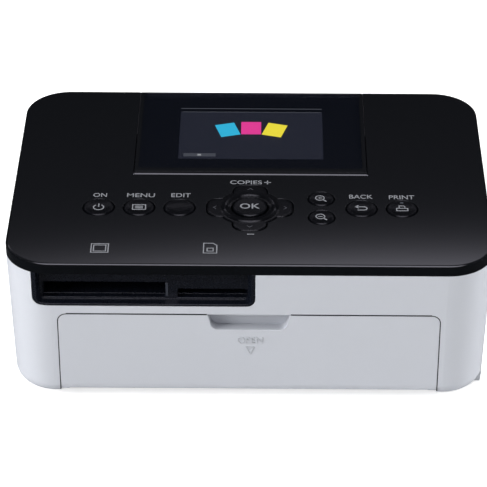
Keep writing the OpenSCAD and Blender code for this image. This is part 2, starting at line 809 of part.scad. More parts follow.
module navigation_pad() color(key_black) {
    top = body_h + pad_rise;
    hole_r = ok_r + 0.45;
    bead_at = 9.3;
    bead_r = 1.1;
    translate([pad_at[0], pad_at[1], 0]) difference() {
        union() {
            translate([0, 0, pad_under]) linear_extrude(body_h + 0.1 - pad_under) pad_outline(0);
            rotate_extrude($fn = 96) polygon(concat(
                [[hole_r - 1, body_h], [pad_body_r - 1.6, body_h]],
                [for (i = [0 : 6])
                    let (a = 30 * i)
                    [bead_at + bead_r * cos(a), body_h + 0.05 + (pad_rise - 0.05) * sin(a)]]));
            translate([0, 0, pad_under]) cylinder(h = pad_flange_top - pad_under, r = pad_body_r + 1.2);
            for (a = [0 : 90 : 270]) rotate([0, 0, a])
                translate([ring_out + 0.6, -2, dome_top + 0.75]) cube([2.8, 4, pad_under - dome_top]);
        }
        translate([0, 0, pad_under - 1]) cylinder(h = top, r = hole_r);
    }
}

// The ring rocks on two ridges along X, and the pad on two along Y
module pad_support_ring() color(acetal_white) {
    translate([pad_at[0], pad_at[1], ring_bottom]) difference() {
        union() {
            cylinder(h = ring_t, r = ring_out);
            for (s = [-1, 1]) {
                translate([0, s * ring_mid, 0]) rod_y(-1, 1, [0, ring_t], ridge_r);
                bar(s * ring_mid - 1, s * ring_mid + 1, [0, 0], ridge_r);
            }
        }
        translate([0, 0, -1]) cylinder(h = 3, r = ring_in);
    }
}

module ok_button() color(key_black) {
    top = body_h + pad_rise + 0.1;
    edge = 0.8;
    flange_top = pad_under - 0.45;
    translate([pad_at[0], pad_at[1], 0]) rotate_extrude($fn = 72) polygon(concat(
        [[0, cap_bottom], [ok_r + key_flange, cap_bottom],
         [ok_r + key_flange, flange_top], [ok_r, flange_top]],
        [for (i = [0 : 5]) let (a = 18 * i) [ok_r - edge * (1 - cos(a)), top - edge * (1 - sin(a))]],
        [[0, top - 0.1]]));
}

// ---------------------------------------------------------------------------------------------
// Screen
// ---------------------------------------------------------------------------------------------

window_low = [-screen_x + 1.5, screen_axis[0] + hinge_r + 0.4];
window_high = [screen_x - 1.5, half_d - 1.5];
box_front = screen_axis[0] + hinge_r + 1.6;
box_back = half_d - wall - 4.4;
box_side = 1.6;
back_cover_t = 1.6;
screen_pin_l = 6;
display_x = display_w / 2;
display_front = (box_front + box_back - display_d) / 2 + display_shift;
display_rim = 2.2;
panel_low = [-display_x - display_rim, display_front - display_rim];
panel_high = [display_x + display_rim, display_front + display_d + display_rim];

module screen_frame() color(gloss_black) {
    rear_z = rim_z + 0.3;
    difference() {
        union() {
            bar(-screen_x, screen_x, screen_axis, hinge_r);
            block([-screen_x, screen_axis[0], body_h - screen_top_t], [screen_x, half_d - 1, body_h]);
            intersection() {
                block([-screen_x, screen_axis[0] + 1, rear_z], [screen_x, half_d, body_h]);
                swept_block(cover_skin());
            }
            block([-screen_x, box_front, frame_under + back_cover_t], [screen_x, box_back, rear_z + 1]);
        }
        block([-screen_x + box_side, box_front + box_side, frame_under],
            [screen_x - box_side, box_back - box_side, body_h - screen_top_t]);
        plate([window_low[0], window_low[1], body_h - window_t],
            [window_high[0], window_high[1], body_h + 1], 1.2);
        block([-display_x, display_front, rear_z], [display_x, display_front + display_d, body_h]);
        bar(-screen_x - 1, -screen_x + screen_pin_l, screen_axis, screen_pin_r);
        bar(screen_x - screen_pin_l, screen_x + 1, screen_axis, screen_pin_r);
    }
}

module screen_window() color("#30333a") {
    g = 0.1;
    plate([window_low[0] + g, window_low[1] + g, body_h - window_t],
        [window_high[0] - g, window_high[1] - g, body_h], 1.1);
}

module display_panel() color("#2a2c35") {
    top = body_h - screen_top_t;
    g = 0.1;
    block([panel_low[0], panel_low[1], frame_under + back_cover_t + 0.3],
        [panel_high[0], panel_high[1], top]);
    block([-display_x + g, display_front + g, top - eps],
        [display_x - g, display_front + display_d - g, body_h - window_t - g]);
}

module screen_back_cover() color(satin_black) {
    plate([-screen_x, box_front, frame_under], [screen_x, box_back, frame_under + back_cover_t], 1.5);
}

module screen_hinge_pins() color(zinc_steel) {
    for (s = [0, 1]) mirror([s, 0, 0])
        bar(screen_x - screen_pin_l, screen_x + well_gap + well_wall - 0.2, screen_axis, screen_pin_r);
}

// ---------------------------------------------------------------------------------------------
// Doors
// ---------------------------------------------------------------------------------------------

// Outline of the finger recess in (x, z), narrowing a little downwards
module recess_outline(grow) {
    low = door_top - recess_h - grow;
    r = 3;
    x1 = recess_w / 2 + grow;
    x0 = x1 - 1;
    polygon(concat(
        [[-x1, door_top + 1]],
        [for (i = [0 : 6]) let (a = 180 + 15 * i) [-x0 + r + r * cos(a), low + r + r * sin(a)]],
        [for (i = [0 : 6]) let (a = 270 + 15 * i) [x0 - r + r * cos(a), low + r + r * sin(a)]],
        [[x1, door_top + 1]]));
}

module cassette_door() color(shell_white) {
    pocket_wall = 1.2;
    inner_y = -half_d + recess_depth;
    difference() {
        union() {
            difference() {
                intersection() {
                    swept_block(outer_skin());
                    along_y(-half_d - 1, -half_d + 8) door_outline(0, door_bottom);
                }
                swept_block(inner_skin());
            }
            intersection() {
                along_y(-half_d + 1, inner_y + pocket_wall) recess_outline(pocket_wall);
                block([-far, -far, 0], [far, far, door_top - 0.6]);
            }
            for (s = [0, 1]) mirror([s, 0, 0]) {
                bar(door_w / 2 - 3, door_w / 2, door_axis, door_ear_r);
                bar(door_w / 2 - 3, door_w / 2 + seam + door_pin_l, door_axis, door_pin_r);
            }
            for (x = [-46, 46])
                block([x - 0.6, -half_d + 2.5, door_bottom + 3], [x + 0.6, -half_d + 4, door_top - 2]);
        }
        along_y(-half_d - 1, inner_y) recess_outline(0);
    }
}

module ink_door() color(shell_white) {
    ear = 3;
    difference() {
        intersection() {
            swept_block(straight_skin(0));
            along_x(0, half_w + 1) ink_outline(0, ink_door_bottom);
        }
        swept_block([[side_inset(0) + wall, -1], [wall, rim_z]]);
    }
    for (edge = [ink_door_front, ink_door_rear - ear])
        rod_y(edge, edge + ear, ink_axis, ink_ear_r);
    for (edge = [ink_door_front - seam - ink_pin_l, ink_door_rear - ear])
        rod_y(edge, edge + ear + seam + ink_pin_l, ink_axis, ink_pin_r);
}

// ---------------------------------------------------------------------------------------------
// Frame
// ---------------------------------------------------------------------------------------------

module bay_frame() color(frame_grey) {
    floor_t = 1.4;
    side = 2;
    x1 = chassis_x;
    posts = [for (x = [-x1 + 4, bezel_right - 4]) for (y = [socket_front + 3, bay_roof_back - 3]) [x, y]];
    difference() {
        union() {
            block([-x1, bay_front, deck_z], [x1, bay_back, deck_z + floor_t]);
            for (s = [-1, 1])
                block([s * (x1 - side / 2) - side / 2, bay_front, deck_z],
                    [s * (x1 - side / 2) + side / 2, bay_back, bay_roof]);
            block([-x1, bay_front + 1.2, bay_roof], [x1, bay_roof_back, bay_roof + bay_roof_t]);
            for (p = posts)
                translate([p[0], p[1], bay_roof]) cylinder(h = reader_top - reader_t - bay_roof, r = 2.5);
        }
        bar(-x1 - 1, x1 + 1, pickup_at, bush_r + 0.1);
    }
}

// Bushes sit in the plates; one size for all shafts
bush_r = 4;

// One chassis plate, bent from sheet, with its holes; s is -1 on the left and 1 on the right
module chassis_plate(s, opening) {
    inner = s * chassis_x;
    x0 = min(inner, inner + s * plate_t);
    x1 = max(inner, inner + s * plate_t);
    foot = 9;
    difference() {
        union() {
            along_x(x0, x1) difference() {
                polygon([
                    [chassis_front, deck_z], [chassis_back, deck_z], [chassis_back, chassis_top - 8],
                    [chassis_back - 4, chassis_top], [chassis_step + 4, chassis_top],
                    [chassis_step, bay_roof], [chassis_front, bay_roof]]);
                if (opening) offset(delta = 1) cassette_outline();
                for (p = [platen_at, pickup_at, capstan_at]) translate(p) circle(r = bush_r);
                if (!opening) translate(takeup_at) circle(r = bush_r);
                translate(pinch_at) circle(r = pinch_shaft_r + running_fit);
                translate(arm_at) circle(r = arm_shaft_r + running_fit);
            }
            difference() {
                block([s > 0 ? chassis_x - foot : -chassis_x - plate_t, bay_back + 1, deck_z],
                    [s > 0 ? chassis_x + plate_t : -chassis_x + foot, chassis_back, deck_z + plate_t]);
                for (p = chassis_screws)
                    translate([s * p[0], p[1], deck_z - 1]) cylinder(h = 4, r = screw_r + running_fit);
            }
        }
    }
}

module left_chassis() color(zinc_steel) chassis_plate(-1, false);

module right_chassis() color(zinc_steel) {
    chassis_plate(1, true);
    bar(chassis_x + plate_t - eps, latch_x + latch_t + 0.4, latch_at, stud_r);
}

module cross_beam() color(zinc_steel) {
    low = main_z + main_t + plug_h + 1.4;
    block([-chassis_x, chassis_back - 5, low], [chassis_x, chassis_back - 5 + plate_t, paper_z - 4]);
    block([-chassis_x, chassis_back - 9, low], [chassis_x, chassis_back - 5 + eps, low + plate_t]);
}

// Points on an arc, from one angle to another
function arc(middle, r, from, to, steps = 12) =
    [for (i = [0 : steps])
        let (a = from + (to - from) * i / steps)
        middle + r * [cos(a), sin(a)]];

// Curved ramp that lifts the paper from the bay to the platen
module front_paper_guide() color(frame_grey) {
    middle = [pickup_at[0] + 2, paper_z - 2];
    r = 22;
    thick = 1.4;
    along_x(-chassis_x, chassis_x)
        polygon(concat(arc(middle, r, -76, -12), arc(middle, r - thick, -12, -76)));
}

// Flat guide from the capstan out to the slot in the rear wall
module rear_paper_guide() color(frame_grey) {
    y0 = capstan_at[0] + capstan_r + 1.2;
    y1 = half_d - wall - 0.6;
    top = paper_z - 0.6;
    along_x(-paper_half, paper_half)
        polygon([[y0, top - 1], [y1, top - 1], [y1, top], [y0 + 1, top], [y0, top - 0.5]]);
    for (x = [-1 : 1]) translate([x * (paper_half - 10), 0, 0])
        block([-0.8, chassis_back - 5 + plate_t, paper_z - 9], [0.8, y1 - 1, top - 1 + eps]);
}

// ---------------------------------------------------------------------------------------------
// Rollers
// ---------------------------------------------------------------------------------------------

// A roller with its shaft; bodies lists the [from, to] stretches of full radius
module roller(at, r, journal_r, from, to, bodies) {
    bar(from, to, at, journal_r);
    for (b = bodies) bar(b[0], b[1], at, r);
}

module pickup_roller() color(rubber_black) {
    roller(pickup_at, pickup_r, shaft_r, plane_3 - 0.4, chassis_x + plate_t + 1.6, [[-30, -12], [12, 30]]);
}

module platen_roller() color(rubber_black) {
    roller(platen_at, platen_r, shaft_r, -chassis_x - plate_t - 1.6, chassis_x + plate_t + 1.6,
        [[-paper_half, paper_half]]);
}

module capstan_roller() color(zinc_steel) {
    roller(capstan_at, capstan_r, shaft_r, plane_2 - 0.4, chassis_x + plate_t + 1.6,
        [[-paper_half - 2, paper_half + 2]]);
}

module pinch_roller() color(rubber_black) {
    roller(pinch_at, pinch_r, pinch_shaft_r, -chassis_x - plate_t, chassis_x + plate_t,
        [[-paper_half + 2, -20], [-14, 14], [20, paper_half - 2]]);
}

module shaft_bushes() color("#b08a4a") {
    for (p = [pickup_at, platen_at, capstan_at]) for (s = [0, 1]) mirror([s, 0, 0]) bush(p);
    mirror([1, 0, 0]) bush(takeup_at);
}

// A flanged bush in the right-hand plate, with its flange outside
module bush(at) {
    difference() {
        union() {
            bar(chassis_x - 2, chassis_x + plate_t + bush_flange, at, bush_r - 0.02);
            bar(chassis_x + plate_t + 0.02, chassis_x + plate_t + bush_flange, at, bush_r + 1);
        }
        bar(0, far, at, shaft_r + running_fit);
    }
}

// ---------------------------------------------------------------------------------------------
// Gears
// ---------------------------------------------------------------------------------------------

// Involute of a pressure angle, in degrees
function involute(angle) = (tan(angle) - angle * PI / 180) * 180 / PI;

// Half the angle of a tooth at a radius
function half_tooth(teeth, radius) =
    let (pitch = pitch_r(teeth), base = pitch * cos(20), r = max(radius, base))
    90 / teeth - gear_play / 2 / pitch * 90 / PI + involute(20) - involute(acos(base / r));

// Outline of a spur gear whose tooth 0 stands at the given turn
module gear_outline(teeth, turn) {
    pitch = pitch_r(teeth);
    root = pitch - 1.2 * gear_m;
    tip = pitch + 0.85 * gear_m;
    steps = [root, max(root + 0.1, pitch * cos(20)), pitch - 0.2 * gear_m, pitch + 0.35 * gear_m, tip];
    polygon([for (t = [0 : teeth - 1]) each concat(
        [for (r = steps) let (a = turn + 360 * t / teeth - half_tooth(teeth, r)) r * [cos(a), sin(a)]],
        [for (i = [4 : -1 : 0])
            let (r = steps[i], a = turn + 360 * t / teeth + half_tooth(teeth, r))
            r * [cos(a), sin(a)]])]);
}

// A spur gear on the X axis of its shaft, with a round web and a bore
module spur(at, teeth, turn, x0, bore) {
    web = 0.6;
    rim = pitch_r(teeth) - 1.2 * gear_m - 1.2;
    translate([0, at[0], at[1]]) difference() {
        along_x(x0, x0 + gear_w) gear_outline(teeth, turn);
        bar(x0 - 1, x0 + gear_w + 1, [0, 0], bore);
        if (rim > bore + 3) for (x = [x0 - 1, x0 + gear_w - web]) difference() {
            bar(x, x + 1 + web, [0, 0], rim);
            bar(x - 1, x + 3 + web, [0, 0], bore + 1.6);
        }
    }
}

// Bore of a gear that is fixed on its shaft
gear_bore = shaft_r + 0.02;

module pickup_gear() color(acetal_white) spur(pickup_at, pickup_teeth, pickup_turn, plane_3, gear_bore);

module capstan_gear() color(acetal_white) {
    spur(capstan_at, feed_teeth, feed_turn, plane_1, gear_bore);
    spur(capstan_at, capstan_teeth, capstan_turn, plane_2, gear_bore);
    difference() {
        bar(plane_2 + gear_w - eps, plane_1 + eps, capstan_at, shaft_r + 1.5);
        bar(plane_3, 0, capstan_at, gear_bore);
    }
}

module reduction_gear() color(acetal_white) {
    bore = stud_r + running_fit;
    spur(reduction_at, small_teeth, small_turn, plane_2, bore);
    spur(reduction_at, big_teeth, big_turn, plane_3, bore);
    difference() {
        bar(plane_3 + gear_w - eps, plane_2 + eps, reduction_at, stud_r + 1.5);
        bar(-far, 0, reduction_at, bore);
    }
}

module idler_gear() color(acetal_white)
    spur(idler_at, idler_teeth, idler_turn, plane_3, stud_r + running_fit);

motor_shaft_r = 1;

module motor_pinion() color("#b08a4a") {
    spur(motor_at, pinion_teeth, pinion_turn, plane_3, motor_shaft_r - 0.4);
    bar(bracket_x - 4, plane_3 + gear_w, motor_at, motor_shaft_r);
}

module gear_studs() color(zinc_steel) {
    for (p = [reduction_at, idler_at]) {
        bar(plane_3 - 0.5, plate_out, p, stud_r);
        low = p == idler_at ? plane_3 + gear_w + 0.3 : plane_2 + gear_w + 0.3;
        bar(low, plate_out, p, stud_r + 1.4);
    }
}

module feed_motor() color(zinc_steel) {
    difference() {
        union() {
            bar(bracket_x - motor_l, bracket_x, motor_at, motor_r);
            bar(bracket_x - eps, bracket_x + bracket_t - 0.1, motor_at, 3);
        }
        bar(bracket_x - 5, bracket_x + 5, motor_at, motor_shaft_r + running_fit);
    }
}

// Plate that carries the motor on three posts from the left chassis plate
bracket_posts = [platen_at + [-6.5, 6.5], platen_at + [5.5, 8], motor_at - [0, 10.5]];
module motor_bracket() color(zinc_steel) {
    along_x(bracket_x, bracket_x + bracket_t) difference() {
        hull() for (p = concat(bracket_posts, [motor_at - [7, 0], motor_at + [7, 0]]))
            translate(p) circle(r = 4.5, $fn = 32);
        translate(motor_at) circle(r = 3.1);
    }
    for (p = bracket_posts) bar(bracket_x + bracket_t - eps, plate_out, p, 2);
}

// ---------------------------------------------------------------------------------------------
// Ink cassette
// ---------------------------------------------------------------------------------------------

case_left = -chassis_x + 6;
case_right = chassis_x + 6 - cassette_play;
case_end = 2.5;
hub_r = 2.6;

// Latch lever on the right plate that holds the cassette in
latch_x = chassis_x + plate_t + 0.3;
latch_t = 1.6;
latch_at = [supply_at[0] - tube_r - 7.5, spool_z + 1];

// Outline of the whole cassette in (y, z): two tubes and the bridge between them
module cassette_outline() {
    translate(supply_at) circle(r = tube_r);
    translate(takeup_at) circle(r = tube_r);
    translate([supply_at[0], spool_z - 4.6]) square([spool_pitch, 8.8]);
}

// One tube with the slit that the ribbon passes through; side is 1 when it faces the back
module ribbon_tube(at, side, end) {
    slit = 1.2;
    difference() {
        bar(case_left, end, at, tube_r);
        bar(case_left + case_end, case_right - case_end, at, tube_r - tube_wall);
        block([case_left + 4, at[0] + (side > 0 ? 2 : -tube_r - 1), ribbon_z + ribbon_t / 2 - slit / 2],
            [case_right - 4, at[0] + (side > 0 ? tube_r + 1 : -2), ribbon_z + ribbon_t / 2 + slit / 2]);
        bar(case_left - 1, case_right + 1, at, hub_r + 0.3);
    }
}

module ink_cassette_case() color("#3d4046") {
    ribbon_tube(supply_at, 1, latch_x - 0.3);
    ribbon_tube(takeup_at, -1, case_right);
    for (x = [case_left, case_right - case_end]) difference() {
        block([x, supply_at[0] + tube_r - 1.2, spool_z - 3.4],
            [x + case_end, takeup_at[0] - tube_r + 1.2, spool_z + 3.6]);
        for (p = [supply_at, takeup_at]) bar(x - 1, x + case_end + 1, p, tube_r - tube_wall);
    }
}

// A spool: a core with end hubs that turn in the case, and the ribbon wound on it
module spool(at, roll_r) {
    bar(case_left - 0.6, case_right + 0.2, at, hub_r);
    bar(case_left + case_end + 1.5, case_right - case_end - 1.5, at, roll_r);
    for (x = [case_left + case_end + 0.4, case_right - case_end - 1.4])
        bar(x, x + 1, at, tube_r - tube_wall - 0.35);
}

module supply_spool() color("#2c2f45") spool(supply_at, supply_r);

module takeup_spool() color("#2c2f45") spool(takeup_at, takeup_r);

module takeup_drive_gear() color(acetal_white) {
    spur(takeup_at, drive_teeth, drive_turn, plane_1, shaft_r - 0.1);
    bar(plane_1 - 0.3, case_left - 0.6, takeup_at, shaft_r);
}

module ink_ribbon() color("#353a5c") {
    drop = spool_z - ribbon_z;
    start = supply_at[0] + sqrt(supply_r * supply_r - drop * drop) + 0.35;
    end = takeup_at[0] - sqrt(takeup_r * takeup_r - drop * drop) - 0.35;
    block([case_left + 5, start, ribbon_z], [case_right - 5, end, ribbon_z + ribbon_t]);
}

// The latch lever turns on a stud of the right plate, and its tip stands in front of the cassette
module ink_latch() color("#4a7fb5") {
    along_x(latch_x, latch_x + latch_t) difference() {
        union() {
            circle_at(latch_at, 3.6);
            polygon([for (p = [[0, -3], [12, -2.2], [13, -1], [13, 1.6], [0, 3]]) latch_at + p]);
        }
        circle_at(latch_at, stud_r + running_fit);
    }
    along_x(latch_x + latch_t - eps, latch_x + 9)
        polygon([for (p = [[3.9, -2.3], [10, -1.8], [10, -0.4], [3.9, -0.8]]) latch_at + p]);
}

module circle_at(at, r) translate(at) circle(r = r);

// ---------------------------------------------------------------------------------------------
// Print head
// ---------------------------------------------------------------------------------------------

// Aluminium heat sink with the heating strip on its underside
module print_head() color(zinc_steel) {
    half = 5;
    top = arm_plate_z - head_z;
    side = [[0.6, 0], [1, 0.5], [3, 0.5], [half, 1.6], [half, top]];
    along_x(-paper_half, paper_half) translate([platen_at[0], head_z]) difference() {
        polygon(concat(side, [for (i = [4 : -1 : 0]) [-side[i][0], side[i][1]]]));
        for (i = [0 : 2]) for (s = [-1, 1])
            translate([s * half, 3.4 + 2.1 * i]) square([3.6, 1], center = true);
    }
}

module head_arm() color(zinc_steel) {
    bar_t = 1.6;
    eye_r = 4;
    y0 = platen_at[0] - 7;
    z0 = arm_plate_z;
    block([-arm_bar_x, y0, z0], [arm_bar_x, platen_at[0] + 7, z0 + bar_t]);
    for (s = [0, 1]) mirror([s, 0, 0]) along_x(arm_bar_x - bar_t, arm_bar_x) difference() {
        union() {
            polygon([
                [y0, z0], [arm_at[0] - eye_r, z0], [arm_at[0] - eye_r, arm_at[1]],
                [arm_at[0] + eye_r, arm_at[1]], [arm_at[0] + 2, z0 + bar_t + 0.6], [y0, z0 + bar_t]]);
            circle_at(arm_at, eye_r);
        }
        circle_at(arm_at, arm_shaft_r + running_fit);
    }
}

module arm_shaft() color(zinc_steel) bar(-chassis_x - plate_t, chassis_x + plate_t, arm_at, arm_shaft_r);

// ---------------------------------------------------------------------------------------------
// Electronics
// ---------------------------------------------------------------------------------------------

module main_board() color(board_green) {
    top = main_z + main_t;
    block([-paper_half, main_front, main_z], [paper_half, main_back, top]);
    for (chip = [[-30, -27.5, 14], [8, -31.5, 10], [30, -17.5, 8]])
        translate([chip[0], main_back + chip[1], top - eps]) cube([chip[2], chip[2], 1.4]);
    for (x = [-38, -27]) translate([x, main_back - 37.5, top - eps]) cylinder(h = 5, r = 3);
}

// Barrel power inlet on the rear edge of the main board
module power_inlet() color(satin_black) {
    top = main_z + main_t;
    mouth = rear_inner(top) - key_gap;
    difference() {
        block([inlet_x - 5, mouth - 13, top], [inlet_x + 5, mouth, top + plug_h]);
        rod_y(mouth - 9, mouth + 1, [inlet_x, inlet_z], 2.9);
    }
    rod_y(mouth - 10, mouth - 1, [inlet_x, inlet_z], 0.8);
}

// Square data port beside it
module data_port() color(zinc_steel) {
    top = main_z + main_t;
    mouth = rear_inner(top) - key_gap;
    x0 = port_x - port_size[0] / 2;
    difference() {
        block([x0, mouth - 15, top], [x0 + port_size[0], mouth, top + port_size[1]]);
        block([x0 + 1.6, mouth - 10, top + 1.6],
            [x0 + port_size[0] - 1.6, mouth + 1, top + port_size[1] - 1.6]);
    }
    block([port_x - 2.6, mouth - 11, top + 4], [port_x + 2.6, mouth - 1.5, top + 7]);
}

body_shell();
base_pan();
rubber_feet();
base_screws();
top_cover();
card_slot_bezel();
wide_card_socket();
small_card_socket();
card_reader_board();
control_board();
key_mat();
power_button();
menu_button();
edit_button();
back_button();
print_button();
zoom_in_button();
zoom_out_button();
navigation_pad();
pad_support_ring();
ok_button();
screen_frame();
screen_window();
display_panel();
screen_back_cover();
screen_hinge_pins();
cassette_door();
ink_door();
bay_frame();
left_chassis();
right_chassis();
cross_beam();
front_paper_guide();
rear_paper_guide();
pickup_roller();
pickup_gear();
platen_roller();
capstan_roller();
capstan_gear();
pinch_roller();
shaft_bushes();
feed_motor();
motor_bracket();
motor_pinion();
reduction_gear();
idler_gear();
gear_studs();
ink_cassette_case();
supply_spool();
takeup_spool();
takeup_drive_gear();
ink_ribbon();
print_head();
head_arm();
arm_shaft();
ink_latch();
main_board();
power_inlet();
data_port();
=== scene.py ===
"""Looks of a compact photo printer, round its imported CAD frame: metres, as in the CAD."""

import math

import bmesh
import bpy
from mathutils import Matrix, Vector


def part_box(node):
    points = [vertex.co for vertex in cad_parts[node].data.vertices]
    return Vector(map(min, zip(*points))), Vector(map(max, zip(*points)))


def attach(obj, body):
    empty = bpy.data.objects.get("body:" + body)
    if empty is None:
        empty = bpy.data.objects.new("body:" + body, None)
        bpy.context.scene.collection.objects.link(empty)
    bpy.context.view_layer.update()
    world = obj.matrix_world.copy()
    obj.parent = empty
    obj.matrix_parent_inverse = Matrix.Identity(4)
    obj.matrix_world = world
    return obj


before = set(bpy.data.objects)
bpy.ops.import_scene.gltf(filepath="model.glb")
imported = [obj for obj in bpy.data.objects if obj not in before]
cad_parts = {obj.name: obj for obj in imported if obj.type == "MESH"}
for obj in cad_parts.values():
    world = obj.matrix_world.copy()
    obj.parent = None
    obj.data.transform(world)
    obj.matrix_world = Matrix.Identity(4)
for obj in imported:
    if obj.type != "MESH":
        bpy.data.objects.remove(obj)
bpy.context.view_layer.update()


# ---------------------------------------------------------------------------------------------
# Camera
# A long lens about a metre away, in front of the printer, that looks down on it. It is turned
# and rolled by a fraction of a degree. Angles are in radians, places in metres.
# ---------------------------------------------------------------------------------------------

TURN, DOWN, ROLL = 0.00667, 0.57025, 0.00277

camera = bpy.data.objects.new("camera", bpy.data.cameras.new("camera"))
bpy.context.scene.collection.objects.link(camera)
bpy.context.scene.camera = camera
camera.location = (0.005444, -0.825237, 0.558551)
camera.rotation_euler = (
    Matrix.Rotation(TURN, 3, "Z")
    @ Matrix.Rotation(math.pi / 2 - DOWN, 3, "X")
    @ Matrix.Rotation(ROLL, 3, "Z")
).to_euler()
camera.data.sensor_width = 36
camera.data.lens = 187.37
camera.data.shift_x = -0.01356
camera.data.shift_y = -0.00102
bpy.context.scene.view_settings.view_transform = "Standard"


# ---------------------------------------------------------------------------------------------
# Table
# A matt white sheet that the printer stands on. The camera sees it as white paper with the
# printer's shadow on it, and polished plastic sees it dark, as it is in a dim room.
# ---------------------------------------------------------------------------------------------

TABLE_WHITE = "f2f2f2"
TABLE_IN_GLOSS = "3a3a3c"
TABLE_LIFT = 0.62
TABLE_HALF = 6.0
TABLE_GAP = 0.0002


def linear(hex_colour):
    """An sRGB colour such as "c0c4ca" as linear RGBA."""
    parts = [int(hex_colour[i : i + 2], 16) / 255 for i in (0, 2, 4)]
    return [c / 12.92 if c <= 0.04045 else ((c + 0.055) / 1.055) ** 2.4 for c in parts] + [1.0]


def add_node(tree, kind, inputs, **settings):
    """Adds a node. An input takes a value or another node's output; returns the outputs."""
    node = tree.nodes.new(kind)
    for name, value in settings.items():
        setattr(node, name, value)
    for key, value in inputs.items():
        if isinstance(value, bpy.types.NodeSocket):
            tree.links.new(value, node.inputs[key])
        else:
            node.inputs[key].default_value = value
    return node.outputs


def principled(name, colour, **values):
    """A material with one principled shader; returns the material, its tree and the shader."""
    material = bpy.data.materials.new(name)
    material.use_nodes = True
    tree = material.node_tree
    shader = tree.nodes["Principled BSDF"]
    shader.inputs["Base Color"].default_value = linear(colour)
    for key, value in values.items():
        shader.inputs[key.replace("_", " ")].default_value = value
    return material, tree, shader


# Matt white sheet: lifted a little for the camera alone, so that it reads as paper
white_sheet, tree, shader = principled(
    "white_table", TABLE_WHITE, Roughness=0.9, Emission_Color=(1, 1, 1, 1)
)
ray = add_node(tree, "ShaderNodeLightPath", {})
tint = add_node(
    tree, "ShaderNodeMix",
    {"Factor": ray["Is Glossy Ray"], "A": linear(TABLE_WHITE), "B": linear(TABLE_IN_GLOSS)},
    data_type="RGBA",
)
lift = add_node(
    tree, "ShaderNodeMath", {0: ray["Is Camera Ray"], 1: TABLE_LIFT}, operation="MULTIPLY"
)
tree.links.new(tint["Result"], shader.inputs["Base Color"])
tree.links.new(lift["Value"], shader.inputs["Emission Strength"])

table_mesh = bpy.data.meshes.new("table")
bm = bmesh.new()
bmesh.ops.create_grid(bm, x_segments=1, y_segments=1, size=TABLE_HALF)
bm.to_mesh(table_mesh)
bm.free()
table_mesh.materials.append(white_sheet)
table = bpy.data.objects.new("table", table_mesh)
bpy.context.scene.collection.objects.link(table)
table.location.z = -TABLE_GAP


# ---------------------------------------------------------------------------------------------
# Lamps
# Large soft boxes: one on each side, a weaker one behind and a weak one overhead. They are kept
# out of polished surfaces, which mirror the room instead. Metres and watts.
# ---------------------------------------------------------------------------------------------

PRINTER_MIDDLE = (0, 0, 0.03)
SIDE_BOX = (1.6, 1.8)
TOP_BOX = (1.6, 1.4)


def lamp(name, place, aim, size, power):
    """A rectangular soft lamp that points at aim."""
    light = bpy.data.lights.new(name, "AREA")
    light.shape = "RECTANGLE"
    light.size, light.size_y = size
    light.energy = power
    holder = bpy.data.objects.new(name, light)
    holder.location = place
    holder.rotation_euler = (Vector(aim) - Vector(place)).to_track_quat("-Z", "Y").to_euler()
    holder.visible_glossy = False
    bpy.context.scene.collection.objects.link(holder)


lamp("left_softbox", (-2.6, -1.05, 1.0), PRINTER_MIDDLE, SIDE_BOX, 88)
lamp("right_softbox", (2.8, 0.1, 0.8), PRINTER_MIDDLE, SIDE_BOX, 70)
lamp("back_softbox", (0.6, 2.8, 1.2), PRINTER_MIDDLE, SIDE_BOX, 34)
lamp("overhead", (0, -0.5, 1.6), (0, 0, 0), TOP_BOX, 7)


# ---------------------------------------------------------------------------------------------
# Room
# White for the camera, and a dim even light for matt surfaces. Polished ones see a dark room
# with a window that brightens steeply with height, and a soft lamp high up in front.
# ---------------------------------------------------------------------------------------------

ROOM_LIGHT = 0.23
DAYLIGHT = "f1efff"
# Heights are those of a direction, from 0 at the horizon to 1 overhead, a little leaning
HEIGHT_AXIS = (0.04, 0, 1)
WINDOW_FOOT, WINDOW_HEAD = 0.48, 0.55
WINDOW_STEEPNESS = 14
WINDOW_STRENGTH = 1.75
WALL_RISE, WALL_STRENGTH = 0.06, 0.045
# Above its head the window fades to a share of its strength
FADE_FROM, FADE_TO, FADE_SHARE = 0.553, 0.575, 0.08
# The lamp as cosines of the angle from its middle, which is 60 degrees up
LAMP_WAY = (0, -0.5, 0.866)
LAMP_EDGE, LAMP_CORE, LAMP_STRENGTH = 0.82, 0.92, 5.0

world = bpy.data.worlds.new("room")
bpy.context.scene.world = world
world.use_nodes = True
tree = world.node_tree
background = tree.nodes["Background"]
ray = add_node(tree, "ShaderNodeLightPath", {})
way = add_node(tree, "ShaderNodeTexCoord", {})["Generated"]

height = add_node(tree, "ShaderNodeVectorMath", {0: way, 1: HEIGHT_AXIS}, operation="DOT_PRODUCT")
rise = add_node(
    tree, "ShaderNodeMapRange",
    {
        "Value": height["Value"], "From Min": WINDOW_FOOT, "From Max": WINDOW_HEAD,
        "To Min": 0.0, "To Max": 1.0,
    },
)
steep_rise = add_node(
    tree, "ShaderNodeMath", {0: rise["Result"], 1: WINDOW_STEEPNESS}, operation="POWER"
)
wall_glow = add_node(
    tree, "ShaderNodeMath",
    {0: rise["Result"], 1: WALL_RISE, 2: WALL_STRENGTH}, operation="MULTIPLY_ADD",
)
window_glow = add_node(
    tree, "ShaderNodeMath",
    {0: steep_rise["Value"], 1: WINDOW_STRENGTH, 2: wall_glow["Value"]}, operation="MULTIPLY_ADD",
)
fade = add_node(
    tree, "ShaderNodeMapRange",
    {
        "Value": height["Value"], "From Min": FADE_FROM, "From Max": FADE_TO,
        "To Min": 1.0, "To Max": FADE_SHARE,
    },
)
window_view = add_node(
    tree, "ShaderNodeMath", {0: window_glow["Value"], 1: fade["Result"]}, operation="MULTIPLY"
)
facing = add_node(tree, "ShaderNodeVectorMath", {0: way, 1: LAMP_WAY}, operation="DOT_PRODUCT")
